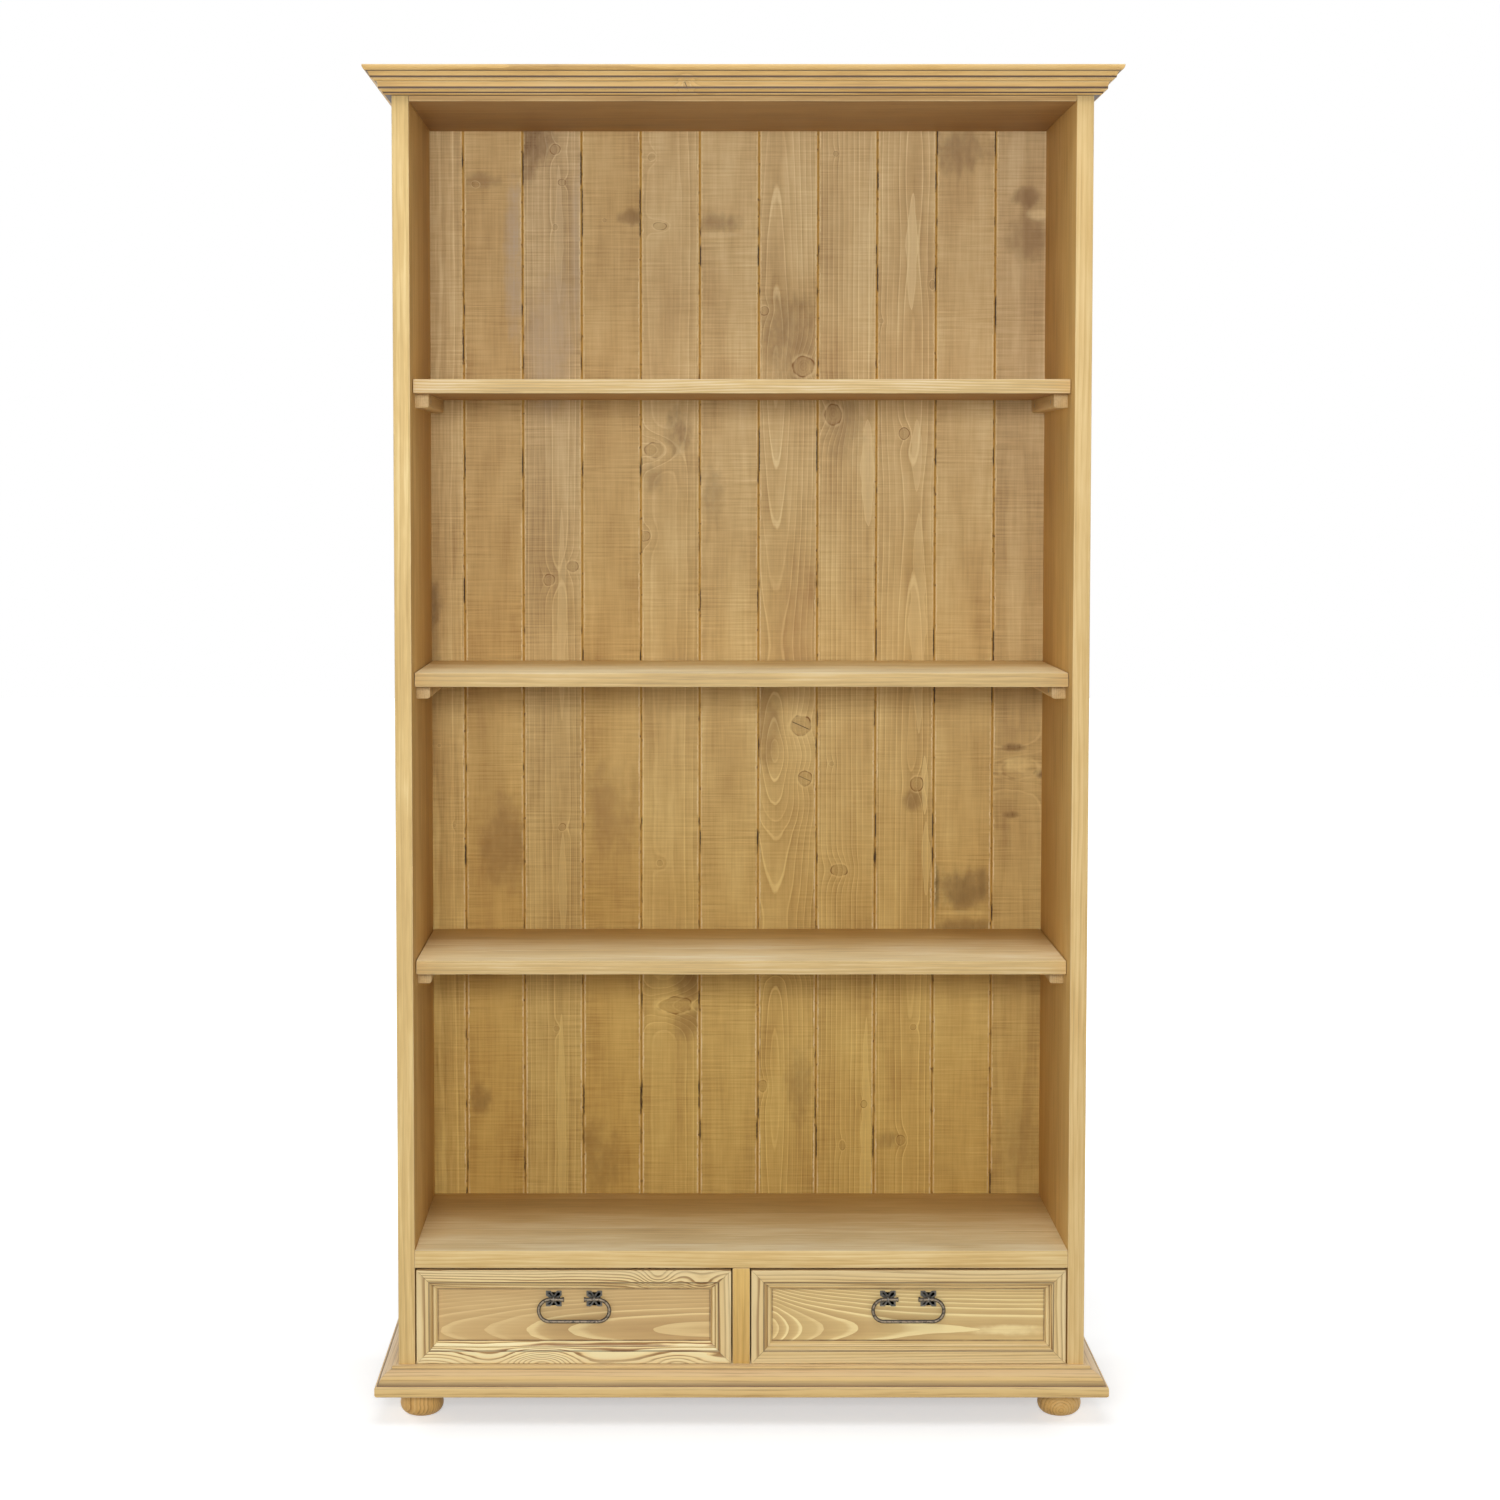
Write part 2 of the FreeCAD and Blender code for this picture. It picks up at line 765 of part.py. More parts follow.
def drawer_front(drawer, centre):
    """The mitred frame and its panel."""
    half_height = (front_high - front_low) / 2
    level = front_low + half_height

    top_rail = frame_member(f"{drawer}_drawer_top_rail", front_half)
    turn(top_rail, RIGHT, -UP, BACK)
    stand(top_rail, centre, Size.of(0), front_high)
    keep(top_rail, f"{drawer}_drawer_top_rail")

    bottom_rail = frame_member(f"{drawer}_drawer_bottom_rail", front_half)
    turn(bottom_rail, -RIGHT, UP, BACK)
    stand(bottom_rail, centre, Size.of(0), front_low)
    left_stile = frame_member(f"{drawer}_drawer_left_stile", half_height)
    turn(left_stile, UP, RIGHT, BACK)
    stand(left_stile, centre - front_half, Size.of(0), level)
    right_stile = frame_member(f"{drawer}_drawer_right_stile", half_height)
    turn(right_stile, -UP, -RIGHT, BACK)
    stand(right_stile, centre + front_half, Size.of(0), level)

    # The groove for the drawer's bottom runs along the rail and across the feet of the stiles.
    groove_half = box_half - size.box_wall + size.groove_depth
    groove_low = box_low + size.box_bottom_rise - size.groove_gap
    groove_high = box_low + size.box_bottom_rise + size.box_bottom_thickness + size.groove_gap
    groove = block(f"{drawer}_drawer_front_groove",
                   (centre - groove_half, centre + groove_half),
                   (size.frame_thickness - size.rail_groove_depth,
                    size.frame_thickness + size.overrun),
                   (groove_low, groove_high))
    for name, blank in (("bottom_rail", bottom_rail), ("left_stile", left_stile),
                        ("right_stile", right_stile)):
        grooved = doc.addObject("Part::Cut", f"{drawer}_drawer_{name}_grooved")
        grooved.Base = blank
        grooved.Tool = groove
        keep(grooved, f"{drawer}_drawer_{name}")

    border = size.frame_width - size.panel_lap + size.panel_gap
    blank = block(f"{drawer}_drawer_panel_blank",
                  (centre - front_half + border, centre + front_half - border),
                  (size.panel_recess, size.frame_thickness),
                  (front_low + border, front_high - border))
    hole_radius = size.shank_radius.value + size.shank_gap.value
    bores = [
        Part.makeCylinder(hole_radius, size.frame_thickness.value,
                          value_at(centre + eye_half * sign, Size.of(0), pull_level), BACK)
        for sign in (-1, 1)
    ]
    keep(cut(f"{drawer}_drawer_panel", blank, bores), f"{drawer}_drawer_panel")


def drawer_box(drawer, centre):
    """Two grooved sides, a back that stands on the bottom, and the bottom in its grooves."""
    bottom_low_edge = box_low + size.box_bottom_rise
    bottom_high_edge = bottom_low_edge + size.box_bottom_thickness
    inner = box_half - size.box_wall
    for side, sign in (("left", -1), ("right", 1)):
        name = f"{drawer}_drawer_{side}_side"
        xs = (centre - box_half, centre - inner) if sign < 0 else (centre + inner, centre + box_half)
        blank = block(f"{name}_blank", xs, (size.frame_thickness, box_back), (box_low, box_high))
        groove_xs = (centre - inner - size.groove_depth, centre - inner + size.overrun)
        if sign > 0:
            groove_xs = (centre + inner - size.overrun, centre + inner + size.groove_depth)
        groove = block(f"{name}_groove", groove_xs,
                       (size.frame_thickness - size.overrun, box_back + size.overrun),
                       (bottom_low_edge - size.groove_gap, bottom_high_edge + size.groove_gap))
        wall = doc.addObject("Part::Cut", f"{name}_cut")
        wall.Base = blank
        wall.Tool = groove
        keep(wall, name)
    back = block(f"{drawer}_drawer_back", (centre - inner, centre + inner),
                 (box_back - size.box_wall, box_back), (bottom_high_edge, box_high))
    keep(back, f"{drawer}_drawer_back")
    reach = inner + size.groove_depth - size.groove_end_gap
    tray_front = size.frame_thickness - size.rail_groove_depth + size.groove_end_gap
    tray = block(f"{drawer}_drawer_bottom", (centre - reach, centre + reach),
                 (tray_front, box_back), (bottom_low_edge, bottom_high_edge))
    keep(tray, f"{drawer}_drawer_bottom")


def rosette(name):
    """A square iron plate with a notch in each side, bored for the shank."""
    half = size.rosette_size / 2
    quarter = [(half * across, half * up) for across, up in ROSETTE_SHARES]
    points = []
    for turns in range(4):
        points += quarter
        quarter = [(-up, across) for across, up in quarter]
    body = doc.addObject("PartDesign::Body", name)
    sketch = new_sketch(body, "XZ_Plane", f"{name}_outline")
    draw(sketch, points)
    pad = body.newObject("PartDesign::Pad", f"{name}_pad")
    pad.Profile = sketch
    bind(pad, "Length", size.rosette_thickness)
    body.Tip = pad
    return body


def eye(name, x):
    """An eye for the bail, with a shank through the panel that is clinched behind it."""
    ring = doc.addObject("Part::Cylinder", f"{name}_ring")
    bind(ring, "Radius", size.eye_radius)
    bind(ring, "Height", size.eye_width)
    turn(ring, -UP, BACK, RIGHT)
    stand(ring, x - size.eye_width / 2, axis_depth, pull_level)

    shank = doc.addObject("Part::Cylinder", f"{name}_shank")
    bind(shank, "Radius", size.shank_radius)
    bind(shank, "Height", size.frame_thickness - axis_depth + size.clinch_thickness / 2)
    turn(shank, RIGHT, -UP, BACK)
    stand(shank, x, axis_depth, pull_level)

    clinch = doc.addObject("Part::Cylinder", f"{name}_clinch")
    bind(clinch, "Radius", size.clinch_radius)
    bind(clinch, "Height", size.clinch_thickness)
    turn(clinch, RIGHT, -UP, BACK)
    stand(clinch, x, size.frame_thickness, pull_level)

    whole = doc.addObject("Part::MultiFuse", f"{name}_whole")
    whole.Shapes = [ring, shank, clinch]

    bore = doc.addObject("Part::Cylinder", f"{name}_bore")
    bind(bore, "Radius", size.bail_radius + size.bail_gap)
    bind(bore, "Height", size.eye_width + size.overrun * 2)
    turn(bore, -UP, BACK, RIGHT)
    stand(bore, x - size.eye_width / 2 - size.overrun, axis_depth, pull_level)

    result = doc.addObject("Part::Cut", f"{name}_cut")
    result.Base = whole
    result.Tool = bore
    return result


def bail(drawer, centre):
    """A rod bent to a long loop, open at the top, whose flared tails lie in the eyes."""
    name = f"{drawer}_pull_bail"
    bend = size.bail_bend
    corner = size.bail_width / 2 - size.bail_radius - bend
    tip = size.tail_reach
    flare = size.tail_flare_length
    body = doc.addObject("PartDesign::Body", f"{name}_rod")
    path = new_sketch(body, "XZ_Plane", f"{name}_path")
    spans = [
        ((tip, 0), (corner, 0)),
        ((corner, 0), (corner, bend * -2), (corner + bend, -bend)),
        ((corner, bend * -2), (-corner, bend * -2)),
        ((-corner, bend * -2), (-corner, 0), (-corner - bend, -bend)),
        ((-corner, 0), (-tip, 0)),
    ]
    for span in spans:
        if len(span) == 3:
            edge = Part.Arc(spot(span[0]), spot(span[2]), spot(span[1]))
        else:
            edge = Part.LineSegment(spot(span[0]), spot(span[1]))
        path.addGeometry(edge, False)
    for index, span in enumerate(spans):
        here = nearest_end(path, index, spot(span[0]))
        if index:
            before = nearest_end(path, index - 1, spot(span[0]))
            path.addConstraint(Sketcher.Constraint("Coincident", index - 1, before, index, here))
        for kind, length in zip(("DistanceX", "DistanceY"), span[0]):
            length = Size.of(length)
            row = path.addConstraint(Sketcher.Constraint(kind, -1, 1, index, here, length.value))
            bind(path, f"Constraints[{row}]", length)
    ring = new_sketch(body, "YZ_Plane", f"{name}_section")
    bind(ring, "AttachmentOffset.Base.z", tip)
    ring.addGeometry(Part.Circle(Vector(), UP, size.bail_radius.value), False)
    ring.addConstraint(Sketcher.Constraint("Coincident", 0, 3, -1, 1))
    row = ring.addConstraint(Sketcher.Constraint("Radius", 0, size.bail_radius.value))
    bind(ring, f"Constraints[{row}]", size.bail_radius)
    pipe = body.newObject("PartDesign::AdditivePipe", f"{name}_pipe")
    pipe.Profile = ring
    pipe.Spine = path
    body.Tip = pipe
    stand(body, centre, axis_depth, pull_level)

    pieces = [body]
    for side, sign in (("left", -1), ("right", 1)):
        cone = doc.addObject("Part::Cone", f"{name}_{side}_flare")
        bind(cone, "Radius1", size.bail_radius)
        bind(cone, "Radius2", size.tail_flare_radius)
        bind(cone, "Height", flare)
        turn(cone, UP * sign, BACK, RIGHT * -sign)
        stand(cone, centre + (tip + flare) * sign, axis_depth, pull_level)
        pieces.append(cone)
    whole = doc.addObject("Part::MultiFuse", f"{name}_fused")
    whole.Shapes = pieces
    keep(whole, name)


def pull(drawer, centre):
    plates = []
    eyes = []
    for side, sign in (("left", -1), ("right", 1)):
        x = centre + eye_half * sign
        name = f"{drawer}_pull_{side}"
        plate = rosette(f"{name}_rosette")
        stand(plate, x, size.panel_recess, pull_level)
        bore = Part.makeCylinder(size.shank_radius.value + size.shank_gap.value,
                                 size.panel_recess.value,
                                 value_at(x, size.panel_recess - size.rosette_thickness * 2,
                                          pull_level), BACK)
        plates.append(cut(f"{name}_rosette", plate, [bore]))
        eyes.append(eye(f"{name}_eye", x))
    rosettes = doc.addObject("Part::Compound", f"{drawer}_pull_rosettes_pair")
    rosettes.Links = plates
    keep(rosettes, f"{drawer}_pull_rosettes")
    pair = doc.addObject("Part::Compound", f"{drawer}_pull_eyes_pair")
    pair.Links = eyes
    keep(pair, f"{drawer}_pull_eyes")
    bail(drawer, centre)


for drawer, sign in zip(DRAWERS, (-1, 1)):
    middle = (divider_half + opening_half) * sign
    drawer_front(drawer, middle)
    drawer_box(drawer, middle)
    pull(drawer, middle)

# Fasteners of the case
screw_set = doc.addObject("Part::Feature", "wood_screws_set")
screw_set.Shape = Part.makeCompound([screw(place, heading) for place, heading in screws])
keep(screw_set, "wood_screws")
dowel_set = doc.addObject("Part::Feature", "dowels_set")
dowel_set.Shape = Part.makeCompound([dowel(seam, heading) for seam, heading in dowels])
keep(dowel_set, "dowels")

doc.recompute()

for item in doc.Objects:
    if "Invalid" in item.State or "Error" in item.State:
        raise RuntimeError(f"{item.Label} could not be made: {item.State}")
for node in nodes:
    if node.Shape.isNull() or not node.Shape.isValid():
        raise RuntimeError(f"{node.Label} has no valid shape")

os.makedirs("parts", exist_ok=True)
for node in nodes:
    node.Shape.exportStep(f"parts/{node.Label}.step")
print(f"{len(nodes)} nodes, {sum(len(node.Shape.Solids) for node in nodes)} solids")
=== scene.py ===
"""A waxed pine bookcase with two drawers: its boards, mouldings, iron pulls and finishes."""

import json
import logging
import math
from collections.abc import Iterator
from contextlib import contextmanager
from dataclasses import dataclass, replace
from enum import Enum

import bmesh
import bpy
from mathutils import Matrix, Vector

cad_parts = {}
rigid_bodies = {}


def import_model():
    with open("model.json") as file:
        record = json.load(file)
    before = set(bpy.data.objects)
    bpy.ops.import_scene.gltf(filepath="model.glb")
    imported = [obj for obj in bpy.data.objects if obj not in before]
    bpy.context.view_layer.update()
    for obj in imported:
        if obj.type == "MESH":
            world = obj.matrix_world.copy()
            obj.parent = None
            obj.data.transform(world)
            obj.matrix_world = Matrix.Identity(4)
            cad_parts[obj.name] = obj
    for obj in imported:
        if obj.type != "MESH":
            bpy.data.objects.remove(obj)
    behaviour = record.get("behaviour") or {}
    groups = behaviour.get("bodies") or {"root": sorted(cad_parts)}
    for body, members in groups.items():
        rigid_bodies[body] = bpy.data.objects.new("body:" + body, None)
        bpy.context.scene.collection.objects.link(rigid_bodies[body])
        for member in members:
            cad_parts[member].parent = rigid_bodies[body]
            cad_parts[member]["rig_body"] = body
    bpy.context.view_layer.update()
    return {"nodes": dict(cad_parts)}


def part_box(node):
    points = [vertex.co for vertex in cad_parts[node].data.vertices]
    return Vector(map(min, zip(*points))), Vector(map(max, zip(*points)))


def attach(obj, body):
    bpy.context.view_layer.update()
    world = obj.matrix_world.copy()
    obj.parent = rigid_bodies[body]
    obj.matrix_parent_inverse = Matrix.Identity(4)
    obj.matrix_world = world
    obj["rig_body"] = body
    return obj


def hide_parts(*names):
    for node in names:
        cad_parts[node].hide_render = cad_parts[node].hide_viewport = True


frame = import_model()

log = logging.getLogger("bookcase")

Socket = bpy.types.NodeSocket
Piece = bpy.types.Object

RIGHT = Vector((1, 0, 0))
BACK = Vector((0, 1, 0))
UP = Vector((0, 0, 1))

WEAR_AND_SHADE = "wear_and_shade"


class Grain(Enum):
    """The way that a piece's grain runs, with the order of its along, across and deep axes."""

    SIDEWAYS = (0, 2, 1)
    LEVEL = (0, 1, 2)
    INWARDS = (1, 0, 2)
    UPRIGHT = (2, 0, 1)
    UPRIGHT_DEEP = (2, 1, 0)


class Slot(Enum):
    """The names of the record's material slots, which seat is given but doesn't use."""

    WAXED = "waxed_pine"
    ROUGH_SAWN = "rough_sawn_pine"
    BLACK_IRON = "black_iron"
    BROWN_IRON = "brown_iron"


@dataclass(frozen=True)
class Tone:
    """A paint-chart colour, from 0 to 255 a channel."""

    red: float
    green: float
    blue: float

    def linear(self) -> tuple[float, float, float, float]:
        """Returns the tone as light, with full cover."""
        light = []
        for part in self.parts():
            share = part / 255
            light.append(share / 12.92 if share <= 0.04045 else ((share + 0.055) / 1.055) ** 2.4)
        return (*light, 1.0)

    def towards(self, other: "Tone", share: float) -> "Tone":
        """Returns the tone that lies a share of the way to another."""
        return Tone(*(a + (b - a) * share for a, b in zip(self.parts(), other.parts())))

    def parts(self) -> tuple[float, float, float]:
        """Returns the three channels."""
        return (self.red, self.green, self.blue)


class Graph:
    """Adds the nodes of one material and joins them.

    A method takes a link or a fixed value for each number, and a tone too for a colour.
    """

    def __init__(self, tree: bpy.types.NodeTree) -> None:
        """Takes up the node tree that is added to."""
        self.tree = tree

    def node(self, kind: str, **settings: object) -> bpy.types.Node:
        """Adds a node and sets its properties.

        Args:
            kind: the node's type.
            settings: its properties.

        Returns:
            The new node.
        """
        made = self.tree.nodes.new(kind)
        for name, value in settings.items():
            setattr(made, name, value)
        return made

    def feed(self, socket: Socket, value: object) -> None:
        """Gives an input what it reads.

        Args:
            socket: the input.
            value: a link, a fixed value or a tone.
        """
        if isinstance(value, bpy.types.NodeSocket):
            self.tree.links.new(value, socket)
        else:
            socket.default_value = value.linear() if isinstance(value, Tone) else value

    def fed(self, made: bpy.types.Node, *values: object) -> bpy.types.Node:
        """Gives a node's first inputs what they read, in order.

        Args:
            made: the node.
            values: a link or a fixed value for each input.

        Returns:
            The node.
        """
        for socket, value in zip(made.inputs, values):
            self.feed(socket, value)
        return made

    def math(self, operation: str, *values: object, clamp: bool = False) -> Socket:
        """Returns the result of a sum on up to three numbers."""
        made = self.node("ShaderNodeMath", operation=operation, use_clamp=clamp)
        return self.fed(made, *values).outputs[0]

    def plus(self, first: object, second: object) -> Socket:
        """Returns the sum of two numbers."""
        return self.math("ADD", first, second)

    def minus(self, first: object, second: object) -> Socket:
        """Returns the first number less the second."""
        return self.math("SUBTRACT", first, second)

    def times(self, first: object, second: object, clamp: bool = False) -> Socket:
        """Returns the product of two numbers, kept from 0 to 1 if clamped."""
        return self.math("MULTIPLY", first, second, clamp=clamp)

    def scaled(self, value: object, factor: object, extra: object) -> Socket:
        """Returns a number times a factor, with something added."""
        return self.math("MULTIPLY_ADD", value, factor, extra)

    def vector(self, operation: str, *values: object) -> Socket:
        """Returns the result of a sum on vectors, which is a number for a length."""
        made = self.fed(self.node("ShaderNodeVectorMath", operation=operation), *values)
        return made.outputs["Value" if operation == "LENGTH" else "Vector"]

    def joined(self, x: object, y: object, z: object = 0.0) -> Socket:
        """Returns a vector made of three numbers."""
        return self.fed(self.node("ShaderNodeCombineXYZ"), x, y, z).outputs[0]

    def split(self, vector: Socket) -> tuple[Socket, Socket, Socket]:
        """Returns the three numbers of a vector."""
        return tuple(self.fed(self.node("ShaderNodeSeparateXYZ"), vector).outputs)

    def noise(self, place: Socket, cells: tuple[float, float, float], detail: float = 2.0,
              rough: float = 0.5) -> Socket:
        """Adds soft noise.

        Args:
            place: where it is read, in metres.
            cells: how many of its cells fit in a metre on each axis.
            detail: how many finer layers it has.
            rough: how strong the finer layers are.

        Returns:
            A number from 0 to 1.
        """
        made = self.node("ShaderNodeTexNoise")
        self.feed(made.inputs["Vector"], self.vector("MULTIPLY", place, cells))
        made.inputs["Scale"].default_value = 1.0
        made.inputs["Detail"].default_value = detail
        made.inputs["Roughness"].default_value = rough
        return made.outputs[0]

    def chance(self, count: object) -> Socket:
        """Draws a chance number.

        Args:
            count: a whole number, which gives the same one each time.

        Returns:
            A number from 0 to 1.
        """
        made = self.node("ShaderNodeTexWhiteNoise", noise_dimensions="1D")
        self.feed(made.inputs["W"], count)
        return made.outputs["Value"]

    def swing(self, noise: Socket, reach: object) -> Socket:
        """Returns noise turned into a number from -reach to reach, about."""
        return self.times(self.scaled(noise, 2.0, -1.0), reach)

    def fade(self, value: Socket, low: object, high: object) -> Socket:
        """Returns a soft step: 0 below low, 1 above high, or the other way if low is higher."""
        made = self.node("ShaderNodeMapRange", interpolation_type="SMOOTHSTEP")
        return self.fed(made, value, low, high, 0.0, 1.0).outputs[0]

    def band(self, value: Socket, rise: tuple[object, object],
             fall: tuple[object, object]) -> Socket:
        """Returns 1 between two soft steps and 0 outside them."""
        return self.times(self.fade(value, *rise), self.fade(value, *fall))

    def mix(self, share: object, low: object, high: object, mode: str = "MIX") -> Socket:
        """Lays one colour over another.

        Args:
            share: how much of the upper one shows.
            low: the lower colour.
            high: the upper one.
            mode: how they are laid together.

        Returns:
            The mixed colour.
        """
        made = self.node("ShaderNodeMix", data_type="RGBA", blend_type=mode)
        for index, value in ((0, share), (6, low), (7, high)):
            self.feed(made.inputs[index], value)
        return made.outputs[2]

    def ramp(self, value: Socket, stops: tuple[tuple[float, tuple[float, ...]], ...]) -> Socket:
        """Turns a number into a colour.

        Args:
            value: the number, from 0 to 1.
            stops: places from 0 to 1, each with the colour there.

        Returns:
            The colour of the value.
        """
        made = self.node("ShaderNodeValToRGB")
        marks = made.color_ramp.elements
        while len(marks) < len(stops):
            marks.new(0.5)
        for mark, (place, colour) in zip(marks, stops):
            mark.position = place
            mark.color = colour
        return self.fed(made, value).outputs[0]

    def curve(self, value: Socket, points: tuple[tuple[float, float], ...]) -> Socket:
        """Leads a number through a smooth curve.

        Args:
            value: the number.
            points: the curve's points, which run from 0 to 1.

        Returns:
            The curve's height there.
        """
        made = self.node("ShaderNodeFloatCurve")
        line = made.mapping.curves[0]
        for index, (across, height) in enumerate(points):
            if index < 2:
                line.points[index].location = (across, height)
            else:
                line.points.new(across, height)
        made.mapping.update()
        self.feed(made.inputs["Value"], value)
        return made.outputs[0]

    def relief(self, height: Socket, reach: float) -> Socket:
        """Gives a surface its relief.

        Args:
            height: the relief, from 0 to 1.
            reach: how deep it is, in metres.

        Returns:
            The way that each place faces.
        """
        made = self.node("ShaderNodeBump")
        made.inputs["Distance"].default_value = reach
        self.feed(made.inputs["Height"], height)
        return made.outputs[0]

    def wear_and_shade(self) -> Socket:
        """Returns the mark written on the piece's points: pale wear and painted highlight above 0,
        painted shade below 0.
        """
        return self.node("ShaderNodeAttribute", attribute_name=WEAR_AND_SHADE).outputs["Fac"]

    def seen(self) -> Socket:
        """Returns 1 where the eye looks, straight or by way of gloss or glass, and else 0."""
        path = self.node("ShaderNodeLightPath")
        mirrored = self.math("MAXIMUM", path.outputs["Is Glossy Ray"],
                             path.outputs["Is Transmission Ray"])
        return self.math("MAXIMUM", path.outputs["Is Camera Ray"], mirrored)


# Finishes

# Stain and soot also colour the painted shade in quirks and round sunk panels, and cream the
# painted highlight on ridges and arrises.
STAIN_AND_SHADE = Tone(118, 84, 50)
SOOT_AND_SHADE = Tone(66, 46, 30)
UMBER = Tone(132, 88, 42)
LIME = Tone(200, 180, 152)
HONEY = Tone(208, 163, 82)
CREAM_AND_HIGHLIGHT = Tone(236, 214, 164)
WHITE = Tone(255, 255, 255)


@dataclass(frozen=True)
class Knot:
    """A knot in a board: its place along and across and its half sizes, all in metres.

    A push above 0 bends the rings round it, and a crack of 1 is the darkest.
    """

    along: float
    across: float
    length: float
    width: float
    dark: float = 0.5
    push: float = 1.0
    crack: float = 0.0


@dataclass(frozen=True)
class Eddy:
    """A place where the rings swirl with no knot in sight."""

    along: float
    across: float
    length: float
    width: float
    push: float


@dataclass(frozen=True)
class Cloud:
    """A soft patch on a board, such as a stain or a limed area."""

    along: float
    across: float
    length: float
    width: float
    strength: float
    tone: Tone = STAIN_AND_SHADE


@dataclass(frozen=True)
class Streak:
    """A pale tongue of wood between two rings, from low to high along a board."""

    low: float
    high: float
    across: float
    width: float
    strength: float = 0.6


class Rings(Enum):
    """How a year's growth goes from pale to dark and back, as stops of lightness."""

    SAWN = ((0.0, 0.6), (0.05, 1.0), (0.13, 1.0), (0.2, 0.22), (0.5, 0.42), (0.97, 0.54))
    BRUSHED = ((0.0, 0.8), (0.32, 0.78), (0.55, 0.55), (0.72, 0.12), (0.9, 0.0), (0.98, 0.5))
    FLAMED = ((0.0, 0.25), (0.45, 0.4), (0.7, 0.55), (0.84, 0.95), (0.97, 1.0))
    PLANED = ((0.0, 0.7), (0.3, 0.62), (0.7, 0.4), (0.93, 0.12), (1.0, 0.4))


@dataclass(frozen=True)
class Pine:
    """Waxed pine with growth rings, fibres, knots and marks of the tool. Sizes in metres.

    The tree's heart runs along the board at pith, counted across and deep, and a dive leads it up
    and down on the way. A wide board is glued from staves. A tongued board gives its half width,
    and a framed panel the half sizes of its field, round whose rim shade is painted. Edge is the
    base tone of the front faces. Top paints light on the upper faces: a pale tone at the front that
    darkens to a second tone at the back. Warmth tints the board warmer towards its bottom.
    """

    grain: Grain
    pale: Tone = Tone(230, 202, 148)
    base: Tone = Tone(206, 172, 114)
    dark: Tone = Tone(156, 114, 62)
    edge: Tone | None = None
    top: tuple[Tone, Tone] | None = None
    warmth: Tone | None = None
    rings: Rings = Rings.PLANED
    ring_gap: float = 0.005
    ring_contrast: float = 0.5
    crowding: float = 1.0
    pith: tuple[float, float] = (0.02, 0.035)
    dive: tuple[tuple[float, float], ...] = ()
    wander: float = 0.006
    wobble: float = 0.0016
    fibre: float = 0.35
    saw: float = 0.0
    patches: float = 0.35
    stave: float = 0.0
    half_width: float = 0.0
    sunk: tuple[float, float] | None = None
    knots: tuple[Knot, ...] = ()
    eddies: tuple[Eddy, ...] = ()
    clouds: tuple[Cloud, ...] = ()
    streaks: tuple[Streak, ...] = ()
    focus: float = 0.0
    relief: float = 0.00025
    roughness: float = 0.5
    gloss: float = 0.4
    seed: float = 0.0

    def material(self, name: str, origin: Vector) -> bpy.types.Material:
        """Builds the finish of one piece, whose places are counted from origin."""
        return PineShader(self, name, origin).material


class Speckle(Enum):
    """The noises in the wood: cells in a metre along, across and deep, layers and roughness."""

    DRIFT = ((1.3, 0.0, 0.0), 1.0, 0.5)
    LEAN = ((1.9, 0.4, 0.4), 1.0, 0.5)
    WAVE = ((9.0, 60.0, 60.0), 2.0, 0.5)
    FIBRES = ((8.0, 290.0, 290.0), 3.0, 0.68)
    PATCH = ((5.0, 17.0, 17.0), 3.0, 0.6)
    FLECKS = ((45.0, 70.0, 70.0), 3.0, 0.6)
    SAW = ((310.0, 7.0, 7.0), 3.0, 0.68)
    SAW_BANDS = ((14.0, 3.0, 3.0), 1.0, 0.5)
    TONGUE = ((26.0, 8.0, 8.0), 2.0, 0.5)
    LOBES = ((42.0, 55.0, 55.0), 1.0, 0.5)
    SEAM_RUN = ((7.0, 0.0, 0.0), 3.0, 0.7)
    SEAM_CRUMBS = ((90.0, 90.0, 90.0), 2.0, 0.6)


